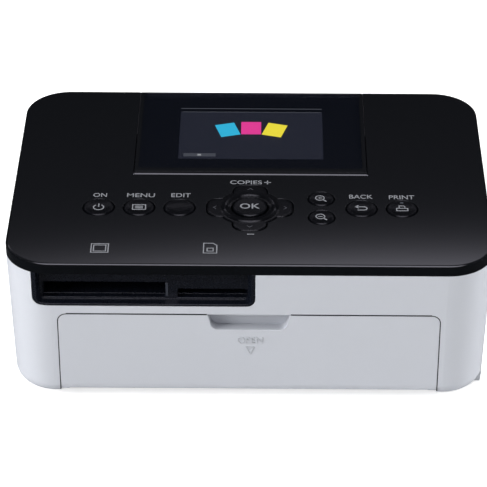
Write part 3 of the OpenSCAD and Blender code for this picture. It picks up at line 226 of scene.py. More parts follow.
lamp_view = add_node(
    tree, "ShaderNodeMapRange",
    {
        "Value": facing["Value"], "From Min": LAMP_EDGE, "From Max": LAMP_CORE,
        "To Min": 0.0, "To Max": LAMP_STRENGTH,
    },
)
room_view = add_node(
    tree, "ShaderNodeMath", {0: window_view["Value"], 1: lamp_view["Result"]}, operation="ADD"
)
room_light = add_node(
    tree, "ShaderNodeMix",
    {"Factor": ray["Is Glossy Ray"], "A": ROOM_LIGHT, "B": room_view["Value"]}, data_type="FLOAT",
)
strength = add_node(
    tree, "ShaderNodeMath", {0: room_light["Result"], 1: ray["Is Camera Ray"]}, operation="MAXIMUM"
)
daylight = add_node(
    tree, "ShaderNodeMix",
    {"Factor": ray["Is Glossy Ray"], "A": (1, 1, 1, 1), "B": linear(DAYLIGHT)}, data_type="RGBA",
)
tree.links.new(daylight["Result"], background.inputs["Color"])
tree.links.new(strength["Value"], background.inputs["Strength"])


# ---------------------------------------------------------------------------------------------
# Base pan
# The white floor of the printer, with ribs and screw posts inside. It is injection-moulded in
# ABS, the plastic of all the white housing, in a mould with a fine satin texture.
# ---------------------------------------------------------------------------------------------

SHELL_WHITE = "c9ccd3"
PAINTED_SHADE_GREY = "64686e"
SHELL_ROUGHNESS = 0.42
SHELL_GRAIN = 3e-6
# How far off a wall still darkens a hollow with painted shade, in metres, and how open the
# darkest and whitest are
HOLLOW_REACH = 0.012
HOLLOW_DARK, HOLLOW_WHITE = 0.3, 0.9
# Spots per metre, one each 0.4 mm: several times coarser than the real grain, so that it shows
MOULD_SPOTS = 2600
MOULD_EDGE = 0.0003
# The values that the noise stays between, and the shares of a roughness that they give
NOISE_LOW, NOISE_HIGH = 0.3, 0.7
SHINIEST, DULLEST = 0.9, 1.1


def grain(tree, shader, spots, depth, stretch=(1, 1, 1)):
    """Bump from fine noise: spots per metre, depth in metres. Returns the noise."""
    place = add_node(tree, "ShaderNodeTexCoord", {})
    mapping = add_node(tree, "ShaderNodeMapping", {"Vector": place["Object"], "Scale": stretch})
    noise = add_node(
        tree, "ShaderNodeTexNoise", {"Vector": mapping["Vector"], "Scale": spots, "Detail": 2.0}
    )
    bump = add_node(
        tree, "ShaderNodeBump", {"Height": noise["Fac"], "Distance": depth, "Strength": 1.0}
    )
    tree.links.new(bump["Normal"], shader.inputs["Normal"])
    return noise["Fac"]


def vary_roughness(tree, shader, noise, low, high):
    """Lets the noise move the roughness between low and high."""
    span = add_node(
        tree, "ShaderNodeMapRange",
        {
            "Value": noise, "From Min": NOISE_LOW, "From Max": NOISE_HIGH,
            "To Min": low, "To Max": high,
        },
    )
    tree.links.new(span["Result"], shader.inputs["Roughness"])


def moulded(name, colour, roughness, depth, edge=MOULD_EDGE, **values):
    """Injection-moulded plastic with a fine grain, its edges rounded as by the mould."""
    material, tree, shader = principled(name, colour, Roughness=roughness, **values)
    noise = grain(tree, shader, MOULD_SPOTS, depth)
    bevel = add_node(tree, "ShaderNodeBevel", {"Radius": edge}, samples=6)
    bump = shader.inputs["Normal"].links[0].from_node
    tree.links.new(bevel["Normal"], bump.inputs["Normal"])
    vary_roughness(tree, shader, noise, roughness * SHINIEST, roughness * DULLEST)
    return material


def dress(material, *names):
    """Gives CAD nodes a material."""
    for name in names:
        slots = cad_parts[name].data.materials
        slots.clear()
        slots.append(material)


# White ABS from a spark-eroded mould: an even, soft sheen. Deep in slots and hollows painted
# shade darkens its colour towards grey, where the surface sees little of the room
shell_abs = moulded("white_abs", SHELL_WHITE, SHELL_ROUGHNESS, SHELL_GRAIN)
tree = shell_abs.node_tree
# Painted shade: where ambient occlusion finds walls near by, the white is mixed towards grey
openness = add_node(
    tree, "ShaderNodeAmbientOcclusion", {"Color": (1, 1, 1, 1), "Distance": HOLLOW_REACH},
    samples=8, only_local=True,
)
unshaded_share = add_node(
    tree, "ShaderNodeMapRange",
    {
        "Value": openness["AO"], "From Min": HOLLOW_DARK, "From Max": HOLLOW_WHITE,
        "To Min": 0.0, "To Max": 1.0,
    },
)
tint = add_node(
    tree, "ShaderNodeMix",
    {"Factor": unshaded_share["Result"], "A": linear(PAINTED_SHADE_GREY), "B": linear(SHELL_WHITE)},
    data_type="RGBA",
)
tree.links.new(tint["Result"], tree.nodes["Principled BSDF"].inputs["Base Color"])
dress(shell_abs, "base_pan")


# ---------------------------------------------------------------------------------------------
# Feet
# Four round pads of black rubber that sit in shallow pockets of the base pan, so that the
# printer doesn't slide. The rollers that grip the paper are of the same rubber.
# ---------------------------------------------------------------------------------------------

# Ground rubber: near black and dull, with a deep grain
rubber = moulded("black_rubber", "232325", 0.8, 8e-6)
dress(rubber, "rubber_feet")


# ---------------------------------------------------------------------------------------------
# Base screws
# Six steel screws with crossed slots in their heads. They come from below, and hold the shell's
# front towers and the feet of the chassis plates to the base pan.
# ---------------------------------------------------------------------------------------------

# Spots per metre, one each 1.1 mm before they are drawn out into lines, coarse enough to show
METAL_SPOTS = 900
LINE_DEPTH = 1.5e-6
METAL_SPREAD = 0.08


def metal(name, colour, roughness, stretch):
    """Bare metal with the fine lines of its rolling, turning or drawing."""
    material, tree, shader = principled(name, colour, Metallic=1.0, Roughness=roughness)
    noise = grain(tree, shader, METAL_SPOTS, LINE_DEPTH, stretch)
    vary_roughness(tree, shader, noise, roughness - METAL_SPREAD, roughness + METAL_SPREAD)
    return material


# Turned steel: bright, with close rings along a shaft
turned_steel = metal("turned_steel", "b4b6ba", 0.24, (12, 1, 1))
dress(turned_steel, "base_screws")


# ---------------------------------------------------------------------------------------------
# Main board, power inlet and data port
# A circuit board on four posts of the base pan, of glass-fibre laminate under green lacquer. The
# black inlet and the plated port stand on its rear edge, behind openings of the shell.
# ---------------------------------------------------------------------------------------------

LACQUER, LACQUER_DARK, TRACK = "1a5a38", "17512f", "3c8a56"
# Cells per metre: rows of tracks come about each millimetre
TRACK_SCALE, TRACK_SHARE = 260.0, 0.012

# Lacquered laminate: green, with the copper tracks showing through as paler lines
laminate, tree, shader = principled("lacquered_board", LACQUER, Roughness=0.35)
place = add_node(tree, "ShaderNodeTexCoord", {})
tracks = add_node(
    tree, "ShaderNodeTexBrick",
    {
        "Vector": place["Object"], "Scale": TRACK_SCALE, "Mortar Size": TRACK_SHARE,
        "Color1": linear(LACQUER), "Color2": linear(LACQUER_DARK), "Mortar": linear(TRACK),
    },
)
tree.links.new(tracks["Color"], shader.inputs["Base Color"])
dress(laminate, "main_board")

# Black ABS from a textured mould: broad, weak highlights
satin_abs = moulded("satin_black_abs", "10131b", 0.28, 2e-6)
dress(satin_abs, "power_inlet")

# Zinc-plated rolled sheet: a cool grey with long faint lines
zinc_sheet = metal("zinc_plated_steel", "a9adb2", 0.34, (0.15, 1, 1))
dress(zinc_sheet, "data_port")


# ---------------------------------------------------------------------------------------------
# Cassette bay and card reader
# The bay is a tray of grey glass-filled plastic that takes the paper cassette. The card reader's
# board stands on posts of its roof, with a black socket behind each card slot.
# ---------------------------------------------------------------------------------------------

# Glass-filled plastic: grey and dry
frame_plastic = moulded("grey_frame_plastic", "5b5f66", 0.5, 4e-6)
dress(frame_plastic, "bay_frame")
dress(laminate, "card_reader_board")
dress(satin_abs, "wide_card_socket", "small_card_socket")


# ---------------------------------------------------------------------------------------------
# Chassis and paper guides
# Two plates of zinc-plated sheet with bent feet stand on the base pan, tied by a cross beam. The
# guides are grey plastic: a curved ramp in front of the platen and a flat one out to the rear.
# ---------------------------------------------------------------------------------------------

dress(zinc_sheet, "left_chassis", "right_chassis", "cross_beam")
dress(frame_plastic, "front_paper_guide", "rear_paper_guide")


# ---------------------------------------------------------------------------------------------
# Rollers and bushes
# The pick-up, platen and pinch rollers carry rubber on their shafts, and the capstan is turned
# steel. The shafts of all but the pinch roller run in bronze bushes pressed into the plates.
# ---------------------------------------------------------------------------------------------

# Sintered bronze, and brass: warm and satin, without lines
bronze = metal("sintered_bronze", "b08a4a", 0.4, (1, 1, 1))
dress(rubber, "pickup_roller", "platen_roller", "pinch_roller")
dress(turned_steel, "capstan_roller")
dress(bronze, "shaft_bushes")


# ---------------------------------------------------------------------------------------------
# Feed motor and gear train
# A steel-cased motor hangs on a sheet bracket beside the left plate. Its brass pinion drives
# moulded spur gears, which turn on steel studs, on two roller shafts and on the ink cassette.
# ---------------------------------------------------------------------------------------------

dress(turned_steel, "feed_motor", "gear_studs")
dress(zinc_sheet, "motor_bracket")
dress(bronze, "motor_pinion")

# White acetal: waxy, a little light goes in
acetal = moulded(
    "white_acetal", "e6e2d6", 0.38, 1e-6, Subsurface_Weight=0.2, Subsurface_Scale=0.002
)
dress(acetal, "pickup_gear", "capstan_gear", "reduction_gear", "idler_gear", "takeup_drive_gear")


# ---------------------------------------------------------------------------------------------
# Ink cassette and its latch
# A dark plastic case with two spools of dye film, pushed in from the right through an opening of
# the chassis plate. A blue plastic lever on a stud of that plate holds it in.
# ---------------------------------------------------------------------------------------------

# Dark moulded plastic of the case: plain and satin
case_plastic = moulded("dark_case_plastic", "3d4046", 0.45, 3e-6)
dress(case_plastic, "ink_cassette_case")

# Polyester dye film, wound and stretched: dark and shiny
film = moulded("dye_ribbon_film", "2a2f52", 0.2, 6e-7)
dress(film, "ink_ribbon", "supply_spool", "takeup_spool")

# Blue plastic, the colour of a lever that a hand may turn
lever_plastic = moulded("blue_lever_plastic", "4a7fb5", 0.4, 2e-6)
dress(lever_plastic, "ink_latch")


# ---------------------------------------------------------------------------------------------
# Print head
# A heating line under a grooved aluminium heat sink, carried by a bent steel arm. The arm turns
# on a steel shaft between the plates and lowers the head onto the ribbon.
# ---------------------------------------------------------------------------------------------

# Extruded aluminium: pale, with lines along its length
aluminium = metal("extruded_aluminium", "c6c8cb", 0.38, (0.1, 1, 1))
dress(aluminium, "print_head")
dress(zinc_sheet, "head_arm")
dress(turned_steel, "arm_shaft")


# ---------------------------------------------------------------------------------------------
# Shell and ink door
# The white outer wall, one moulding of the same ABS as the base pan, goes over the mechanism.
# The door in its right side turns down on two moulded pins.
# ---------------------------------------------------------------------------------------------

dress(shell_abs, "body_shell", "ink_door")


# ---------------------------------------------------------------------------------------------
# Cassette door
# The front flap over the cassette bay, moulded in white ABS like the shell and hinged on two
# pins along its bottom edge. Its finger recess is darkened a little by painted shade.
# ---------------------------------------------------------------------------------------------

# The colour of the painted shade in the finger recess
RECESS_SHADE = "bdc0c7"
# The front leans out by 1.8 mm over 56.2 mm of height, from this Y in metres at the table
FRONT_LEAN = 1.8 / 56.2
FRONT_FOOT = -0.0617
# The recess in metres: half its width, its lower edge, and half the blur of its painted shade
RECESS_HALF = 0.0159
RECESS_LOW = 0.0311
BLUR = 0.0003
# Metres behind the leaning front where the painted shade begins and where it is full
SHADE_FROM, SHADE_FULL = 0.0002, 0.0008

# White ABS as the shell's; behind the front and inside the recess painted shade darkens it
door_abs = moulded("white_door_abs", SHELL_WHITE, SHELL_ROUGHNESS, SHELL_GRAIN)
tree = door_abs.node_tree
place = add_node(tree, "ShaderNodeTexCoord", {})
axes = add_node(tree, "ShaderNodeSeparateXYZ", {"Vector": place["Object"]})
depth = add_node(
    tree, "ShaderNodeVectorMath", {0: place["Object"], 1: (0, 1, FRONT_LEAN)},
    operation="DOT_PRODUCT",
)
aside = add_node(tree, "ShaderNodeMath", {0: axes["X"]}, operation="ABSOLUTE")
behind = add_node(
    tree, "ShaderNodeMapRange",
    {
        "Value": depth["Value"],
        "From Min": FRONT_FOOT + SHADE_FROM, "From Max": FRONT_FOOT + SHADE_FULL,
    },
)
above = add_node(
    tree, "ShaderNodeMapRange",
    {"Value": axes["Z"], "From Min": RECESS_LOW - BLUR, "From Max": RECESS_LOW + BLUR},
)
between = add_node(
    tree, "ShaderNodeMapRange",
    {"Value": aside["Value"], "From Min": RECESS_HALF + BLUR, "From Max": RECESS_HALF - BLUR},
)
deep = add_node(
    tree, "ShaderNodeMath", {0: behind["Result"], 1: above["Result"]}, operation="MULTIPLY"
)
inside = add_node(
    tree, "ShaderNodeMath", {0: deep["Value"], 1: between["Result"]}, operation="MULTIPLY"
)
tint = add_node(
    tree, "ShaderNodeMix",
    {"Factor": inside["Value"], "A": linear(SHELL_WHITE), "B": linear(RECESS_SHADE)},
    data_type="RGBA",
)
tree.links.new(tint["Result"], tree.nodes["Principled BSDF"].inputs["Base Color"])
dress(door_abs, "cassette_door")


# ---------------------------------------------------------------------------------------------
# Raised word and arrow on the cassette door
# OPEN and a small triangle, moulded with the door and raised by less than a fifth of a mm. The
# mould is smooth there, for a change of sheen, and their slightly darker colour is painted shade
# of the relief. Drawn flat in mm, then stood up.
# ---------------------------------------------------------------------------------------------

MM = 0.001
# At a sharp corner a line grows to no more than its width over MITRE
MITRE = 0.4
# Letters a little bolder than the font's, the steps of their curves, and any depth to scale
FONT_BOLD, FONT_STEPS, FONT_DEPTH = 0.006, 6, 0.02
SIGN_X = 0.4
SIGN_SINK, SIGN_THICK, ARROW_WIDTH = -0.02, 0.2, 0.35


def band(bm, rows, z, thick, closed):
    """Joins pairs of points into a flat band and gives it a thickness."""
    corners = [[bm.verts.new((p.x * MM, p.y * MM, z * MM)) for p in row] for row in rows]
    pairs = list(zip(corners, corners[1:] + corners[:1]))
    if not closed:
        pairs = pairs[:-1]
    faces = [bm.faces.new((a[0], a[1], b[1], b[0])) for a, b in pairs]
    raised = bmesh.ops.extrude_face_region(bm, geom=faces)
    tops = [v for v in raised["geom"] if isinstance(v, bmesh.types.BMVert)]
    bmesh.ops.translate(bm, verts=tops, vec=(0, 0, thick * MM))


def stroke(bm, points, width, z, thick, closed=False):
    """A flat line of even width through points, lying at height z."""
    count = len(points)
    rows = []
    for i, point in enumerate(points):
        here = Vector(point)
        before = Vector(points[i - 1]) if closed or i else None
        after = Vector(points[(i + 1) % count]) if closed or i < count - 1 else None
        ways = [(here - before).normalized()] if before is not None else []
        ways += [(after - here).normalized()] if after is not None else []
        normals = [Vector((-w.y, w.x)) for w in ways]
        side = sum(normals, Vector((0, 0))).normalized()
        side *= width / 2 / max(MITRE, side.dot(normals[0]))
        rows.append([here + side, here - side])
    band(bm, rows, z, thick, closed)


def mount(name, mesh, material, body):
    """Puts a mesh into the scene as a piece of one material that rides on a body."""
    mesh.materials.clear()
    mesh.materials.append(material)
    thing = bpy.data.objects.new(name, mesh)
    bpy.context.scene.collection.objects.link(thing)
    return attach(thing, body)


def piece(name, draw, material, body):
    """A new piece, whose bmesh is filled by draw."""
    bm = bmesh.new()
    draw(bm)
    bmesh.ops.recalc_face_normals(bm, faces=bm.faces)
    mesh = bpy.data.meshes.new(name)
    bm.to_mesh(mesh)
    bm.free()
    return mount(name, mesh, material, body)


def label(name, text, middle, size, z, thick, material, body):
    """Lettering of a given width and height, lying flat and read from the front."""
    curve = bpy.data.curves.new(name, "FONT")
    curve.body = text
    curve.extrude = FONT_DEPTH
    curve.offset = FONT_BOLD
    curve.resolution_u = FONT_STEPS
    holder = bpy.data.objects.new(name + "_text", curve)
    bpy.context.scene.collection.objects.link(holder)
    bpy.context.view_layer.update()
    mesh = bpy.data.meshes.new_from_object(holder)
    bpy.data.objects.remove(holder)
    low = Vector([min(v.co[i] for v in mesh.vertices) for i in range(3)])
    high = Vector([max(v.co[i] for v in mesh.vertices) for i in range(3)])
    grow = [wanted * MM / (high[i] - low[i]) for i, wanted in enumerate((*size, thick))]
    foot = Vector(((low.x + high.x) / 2, (low.y + high.y) / 2, low.z))
    place = Matrix.Translation(Vector((*middle, z)) * MM)
    mesh.transform(place @ Matrix.Diagonal((*grow, 1)) @ Matrix.Translation(-foot))
    return mount(name, mesh, material, body)


def stand_up(thing):
    """Turns a flat piece up onto the leaning front: its Y becomes height, its top looks out."""
    for v in thing.data.vertices:
        height = v.co.y
        v.co = Vector((v.co.x, FRONT_FOOT - height * FRONT_LEAN - v.co.z, height))


def door_arrow(bm):
    triangle = [(SIGN_X - 1.4, 24.0), (SIGN_X + 1.4, 24.0), (SIGN_X, 20.9)]
    stroke(bm, triangle, ARROW_WIDTH, SIGN_SINK, SIGN_THICK, closed=True)


# White ABS from a polished part of the mould: a smoother sheen than the door's, and a slightly
# darker colour that is painted shade of the relief
sign_abs = moulded("polished_door_emboss", "c3c6cc", 0.3, 1e-6)
word_open = label(
    "word_open", "OPEN", (SIGN_X, 27.2), (9.3, 2.9), SIGN_SINK, SIGN_THICK, sign_abs, "front_door"
)
stand_up(word_open)
stand_up(piece("door_arrow", door_arrow, sign_abs, "front_door"))


# ---------------------------------------------------------------------------------------------
# Door seam shadow
# A dark line of painted shadow in the seam round the cassette door, thicker along the top edge.
# It stops at the finger recess, and stays on the shell's side of the seam. In mm.
# ---------------------------------------------------------------------------------------------

# How far the door's pins stand out of its sides
DOOR_PIN = 3.3
# The line's middle outside the door's edge, its corner radius and its lower ends
SEAM_SHADE_OUT, SEAM_SHADE_TURN, SEAM_SHADE_LOW = 0.19, 3.19, 4.0
SEAM_SHADE_WIDTH, SEAM_SHADE_SINK, SEAM_SHADE_THICK = 0.34, -0.4, 0.41
SEAM_SHADE_STEPS = 8
# The strips that thicken it, along the top edge on both sides of the recess
STRIP_UP, STRIP_WIDTH, STRIP_SINK, STRIP_THICK = 0.25, 0.3, -0.2, 0.21
RECESS_SIDE = 15.3


def arc(middle, radius, start, end, steps=24):
    """Points on an arc, angles in degrees."""
    angles = [math.radians(start + (end - start) * i / steps) for i in range(steps + 1)]
    return [(middle[0] + radius * math.cos(a), middle[1] + radius * math.sin(a)) for a in angles]


def door_seam_shadow(bm):
    door_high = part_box("cassette_door")[1]
    side = door_high.x / MM - DOOR_PIN + SEAM_SHADE_OUT
    top = door_high.z / MM + SEAM_SHADE_OUT
    straight = side - SEAM_SHADE_TURN
    right = arc((straight, top - SEAM_SHADE_TURN), SEAM_SHADE_TURN, 0, 90, SEAM_SHADE_STEPS)
    left = arc((-straight, top - SEAM_SHADE_TURN), SEAM_SHADE_TURN, 90, 180, SEAM_SHADE_STEPS)
    right_line = [(side, SEAM_SHADE_LOW)] + right + [(RECESS_SIDE, top)]
    left_line = [(-RECESS_SIDE, top)] + left + [(-side, SEAM_SHADE_LOW)]
    for line in (right_line, left_line):
        stroke(bm, line, SEAM_SHADE_WIDTH, SEAM_SHADE_SINK, SEAM_SHADE_THICK)
    for end in (-1, 1):
        strip = [(end * RECESS_SIDE, top + STRIP_UP), (end * straight, top + STRIP_UP)]
        stroke(bm, strip, STRIP_WIDTH, STRIP_SINK, STRIP_THICK)


# Spots per metre, one each quarter of a millimetre
COARSE_SPOTS = 4000

# Painted shadow in the door seam: near black and dull
seam_shadow_dark, tree, shader = principled("painted_door_seam_shadow", "17181b", Roughness=0.85)
grain(tree, shader, COARSE_SPOTS, 4e-6)
stand_up(piece("door_seam_shadow", door_seam_shadow, seam_shadow_dark, "root"))


# ---------------------------------------------------------------------------------------------
# Card slot bezel
# The black front of the two card slots, moulded in the same textured ABS as the sockets behind
# it. It sits in a notch of the shell, under the front edge of the cover.
# ---------------------------------------------------------------------------------------------

dress(satin_abs, "card_slot_bezel")


# ---------------------------------------------------------------------------------------------
# Slot cheek
# The right end of the wide card slot: a narrow upright strip of lighter grey, a painted highlight
# on the slot's inner rim. Drawn flat and turned upright. In mm.
# ---------------------------------------------------------------------------------------------

CHEEK_X, CHEEK_LOW, CHEEK_HIGH = -29.85, 44.4, 50.1
CHEEK_WIDTH, CHEEK_THICK = 0.9, 0.12
# Its distance in front of the printer's middle
CHEEK_FRONT = 59.45


def slot_cheek(bm):
    line = [(CHEEK_X, CHEEK_LOW), (CHEEK_X, CHEEK_HIGH)]
    stroke(bm, line, CHEEK_WIDTH, CHEEK_FRONT, CHEEK_THICK)
    upright = Matrix.Rotation(math.pi / 2, 3, "X")
    bmesh.ops.rotate(bm, verts=bm.verts, cent=(0, 0, 0), matrix=upright)


# Painted highlight: black ABS lightened to grey
slot_highlight_abs = moulded("painted_slot_highlight", "3a3e47", 0.3, 1e-6)
piece("slot_cheek", slot_cheek, slot_highlight_abs, "root")


# ---------------------------------------------------------------------------------------------
# Key board and key mat
# A lacquered board on four posts of the cover carries the contacts of the keys. A sheet of
# moulded silicone with a dome under each key lies on it and springs the keys back.
# ---------------------------------------------------------------------------------------------

# Grey silicone: matt
silicone = moulded("grey_silicone", "8b8d92", 0.7, 4e-6)
dress(laminate, "control_board")
dress(silicone, "key_mat")


# ---------------------------------------------------------------------------------------------
# Top cover
# The black top with its side band, one moulding of ABS from a polished mould, with openings for
# the keys and a well for the screen. It sits on the rim of the shell.
# ---------------------------------------------------------------------------------------------

# Polished ABS: black, and a weak mirror of the room
gloss_abs = moulded("gloss_black_abs", "06080b", 0.05, 1e-7)
dress(gloss_abs, "top_cover")


# ---------------------------------------------------------------------------------------------
# Words and card pictograms on the cover
# The names of the keys, a plus and a minus at the pad, and the outlines of a wide and a small
# card above their slots. Pad-printed in grey ink, a few hundredths of a millimetre thick. In mm.
# ---------------------------------------------------------------------------------------------

# The ink's height above the cover, its thickness, and its spots per metre
INK_RISE, INK_THICK, INK_SPOTS = 0.005, 0.04, 6000
SIGN_LINE, CARD_LINE = 0.45, 0.4
# Each word with its middle and its width and height
WORDS = [
    ("ON", (-56.2, -16.0), (5.1, 2.7)),
    ("MENU", (-40.9, -16.0), (10.4, 2.7)),
    ("EDIT", (-25.9, -15.8), (7.3, 2.7)),
    ("BACK", (41.5, -16.1), (8.8, 2.7)),
    ("PRINT", (56.7, -16.3), (9.4, 2.7)),
    ("COPIES", (-1.6, -6.2), (12.0, 2.6)),
]
# The wide card's middle, and half the sizes of its outline and of the line inside it
WIDE_CARD = (-54.3, -52.7)
WIDE_HALVES = [(3.1, 2.9), (2.2, 2.0)]

# Pad-printing ink: pale, thin and matt
ink, tree, shader = principled("pale_grey_ink", "8e9096", Roughness=0.5)
grain(tree, shader, INK_SPOTS, 1e-6)

ink_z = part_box("top_cover")[1].z / MM + INK_RISE
for word, middle, size in WORDS:
    label("word_" + word.lower(), word, middle, size, ink_z, INK_THICK, ink, "root")


def copy_signs(bm):
    plus_across = [(5.2, -6.2), (7.8, -6.2)]
    plus_upright = [(6.5, -7.5), (6.5, -4.9)]
    minus = [(-0.9, -42.7), (1.7, -42.7)]
    for line in (plus_across, plus_upright, minus):
        stroke(bm, line, SIGN_LINE, ink_z, INK_THICK)


def card_pictograms(bm):
    x, y = WIDE_CARD
    frames = [
        [(x + sx * half_x, y + sy * half_y) for sx, sy in ((-1, -1), (1, -1), (1, 1), (-1, 1))]
        for half_x, half_y in WIDE_HALVES
    ]
    small_card = [(-16.6, -55.6), (-11.8, -55.6), (-11.8, -50.4), (-13.2, -49.0), (-16.6, -49.0)]
    sticker = [(-15.3, -54.3), (-13.1, -54.3), (-13.1, -52.3), (-15.3, -52.3)]
    for outline in frames + [small_card, sticker]:
        stroke(bm, outline, CARD_LINE, ink_z, INK_THICK, closed=True)


piece("copy_signs", copy_signs, ink, "root")
piece("card_pictograms", card_pictograms, ink, "root")


# ---------------------------------------------------------------------------------------------
# Keys
# Five round caps and two small ones for the zoom, moulded in black polycarbonate. Each has a
# shallow dish with a printed sign, and a flange that keeps it under the cover. Signs in mm.
# ---------------------------------------------------------------------------------------------

# The ink's underside below the rim of a cap, and its thickness
DISH_DROP, DISH_INK = 0.27, 0.12
KEY_EDGE = 0.0008

# Satin polycarbonate: darker than the cover, with a soft light along its round edge
key_pc = moulded("key_polycarbonate", "040508", 0.2, 2e-7, KEY_EDGE, Specular_IOR_Level=0.2)
dress(key_pc, "power_button", "menu_button", "edit_button", "back_button", "print_button")
dress(key_pc, "zoom_in_button", "zoom_out_button")


def key_middle(node):
    """Middle of a key in plan, and the height of its sign."""
    low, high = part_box(node)
    return (low.x + high.x) / 2 / MM, (low.y + high.y) / 2 / MM, high.z / MM - DISH_DROP


def key_sign(key, grow, lines):
    """A sign in the dish of a key, of lines as (points, width, closed), made larger by grow."""
    x, y, z = key_middle(key + "_button")

    def draw(bm):
        for points, width, closed in lines:
            placed = [(x + px * grow, y + py * grow) for px, py in points]
            stroke(bm, placed, width, z, DISH_INK, closed)

    piece(key + "_sign", draw, ink, key + "_key")


key_sign("power", 1.25, [
    (arc((0, -0.2), 1.5, 125, 415), 0.42, False),
    ([(0, 0.1), (0, 1.8)], 0.42, False),
])

list_rows = [([(-1.2, dy), (1.2, dy)], 0.35, False) for dy in (-0.6, 0, 0.6)]
list_frame = ([(-2, -1.4), (2, -1.4), (2, 1.4), (-2, 1.4)], 0.4, True)
key_sign("menu", 1.2, [list_frame] + list_rows)

bow = [(-1.7, 0.9), (0.7, 0.9)] + arc((0.7, 0), 0.9, 90, -90, 12) + [(-1.2, -0.9)]
key_sign("back", 1.25, [
    (bow, 0.42, False),
    ([(-0.9, 1.7), (-1.8, 0.9), (-0.9, 0.1)], 0.42, False),
])

key_sign("print", 1.15, [
    ([(-0.9, 0.2), (-0.9, 1.7), (0.5, 1.7), (0.9, 1.3), (0.9, 0.2)], 0.38, False),
    ([(-1.8, -1.3), (1.8, -1.3), (1.8, 0.2), (-1.8, 0.2)], 0.38, True),
])

magnifier = [
    (arc((-0.4, 0.4), 1.35, 0, 360, 32)[:-1], 0.38, True),
    ([(0.6, -0.6), (1.6, -1.6)], 0.5, False),
    ([(-1.1, 0.4), (0.3, 0.4)], 0.32, False),
]
plus_upright = ([(-0.4, -0.3), (-0.4, 1.1)], 0.32, False)
key_sign("zoom_in", 1.2, magnifier + [plus_upright])
key_sign("zoom_out", 1.2, magnifier)


# ---------------------------------------------------------------------------------------------
# Status lamp
# The lens of a small light in the print key, behind its sign: a short dash of clear plastic
# over a diode that is off, with a faint painted glow. In mm.
# ---------------------------------------------------------------------------------------------

LENS_HALF, LENS_WIDTH, LENS_THICK = 0.6, 0.4, 0.1
# How far it lies behind the middle of the key, and above the sign's underside
LENS_BACK, LENS_RISE = 3.9, 0.12
# Spots per metre, one each fifth of a millimetre
CLEAR_SPOTS = 5000

# Clear polycarbonate with a faint painted glow: a little brighter than the key
lens_pc, tree, shader = principled(
    "lamp_lens", "3c4048", Roughness=0.3, Emission_Color=linear("6a7078"), Emission_Strength=0.5
)
grain(tree, shader, CLEAR_SPOTS, 2e-7)


def status_lamp(bm):
    x, y, z = key_middle("print_button")
    line = [(x - LENS_HALF, y + LENS_BACK), (x + LENS_HALF, y + LENS_BACK)]
    stroke(bm, line, LENS_WIDTH, z + LENS_RISE, LENS_THICK)


piece("status_lamp", status_lamp, lens_pc, "print_key")


# ---------------------------------------------------------------------------------------------
# Navigation pad and OK key
# A disc with four round-ended arms, moulded in black polycarbonate and polished, that rocks on a
# ring of white acetal. The OK key stands in its middle, and each arm has a printed chevron.
# ---------------------------------------------------------------------------------------------

PAD_EDGE = 0.0011
# The underside of the OK letters below the top of the cap, and of the chevrons above the cover
OK_DROP, CHEVRON_RISE = 0.11, 0.095
OK_SIZE, OK_THICK = (7.4, 3.5), 0.1
CHEVRON, CHEVRON_WIDTH, CHEVRON_THICK = [(12.6, 1.0), (13.6, 0), (12.6, -1.0)], 0.35, 0.03

dress(acetal, "pad_support_ring")
dress(key_pc, "ok_button")

# Polished polycarbonate: dark, with thin bright lines along its round edges
pad_pc = moulded("polished_polycarbonate", "040508", 0.07, 1e-7, PAD_EDGE, Specular_IOR_Level=0.26)
dress(pad_pc, "navigation_pad")

# Dark grey ink: the chevrons show only from near by
faint_ink, tree, shader = principled("dark_grey_ink", "3c3d42", Roughness=0.5)
grain(tree, shader, INK_SPOTS, 1e-6)

ok_low, ok_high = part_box("ok_button")
ok_middle = ((ok_low.x + ok_high.x) / 2 / MM, (ok_low.y + ok_high.y) / 2 / MM)
label("word_ok", "OK", ok_middle, OK_SIZE, ok_high.z / MM - OK_DROP, OK_THICK, ink, "ok_key")


def pad_arrows(bm):
    cover_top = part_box("top_cover")[1].z / MM
    for quarter in range(4):
        turn = Matrix.Rotation(quarter * math.pi / 2, 2)
        line = [Vector(ok_middle) + turn @ Vector(point) for point in CHEVRON]
        stroke(bm, line, CHEVRON_WIDTH, cover_top + CHEVRON_RISE, CHEVRON_THICK)


piece("pad_arrows", pad_arrows, faint_ink, "pad")


# ---------------------------------------------------------------------------------------------
# Screen
# A colour display in a gloss frame, behind a smoke-tinted window that is bonded into it, with a
# textured cover at its back. The frame turns on two steel pins in the walls of the cover's well.
# ---------------------------------------------------------------------------------------------

dress(satin_abs, "screen_back_cover")
dress(gloss_abs, "screen_frame")
dress(turned_steel, "screen_hinge_pins")

# Glass of the liquid crystal cell: dark blue grey, with a faint glow of its backlight
display_glass, tree, shader = principled(
    "lcd_panel", "20222b", Roughness=0.25, Emission_Color=linear("2a2c38"), Emission_Strength=0.6
)
grain(tree, shader, CLEAR_SPOTS, 2e-7)
dress(display_glass, "display_panel")

# Cast acrylic: flat and glassy, and dims what is behind it
smoke_acrylic, tree, shader = principled("smoke_acrylic", "0b1220", Roughness=0.04, Alpha=0.3)
grain(tree, shader, MOULD_SPOTS, 5e-8)
dress(smoke_acrylic, "screen_window")


# ---------------------------------------------------------------------------------------------
# Picture on the display
# A start picture of a design of its own: three fanned photo cards and a progress bar in front of
# them, with two thin light lines behind that are painted highlights. It is light, lying a hair
# above the display. In mm.
# ---------------------------------------------------------------------------------------------

LIGHT_THICK = 0.01
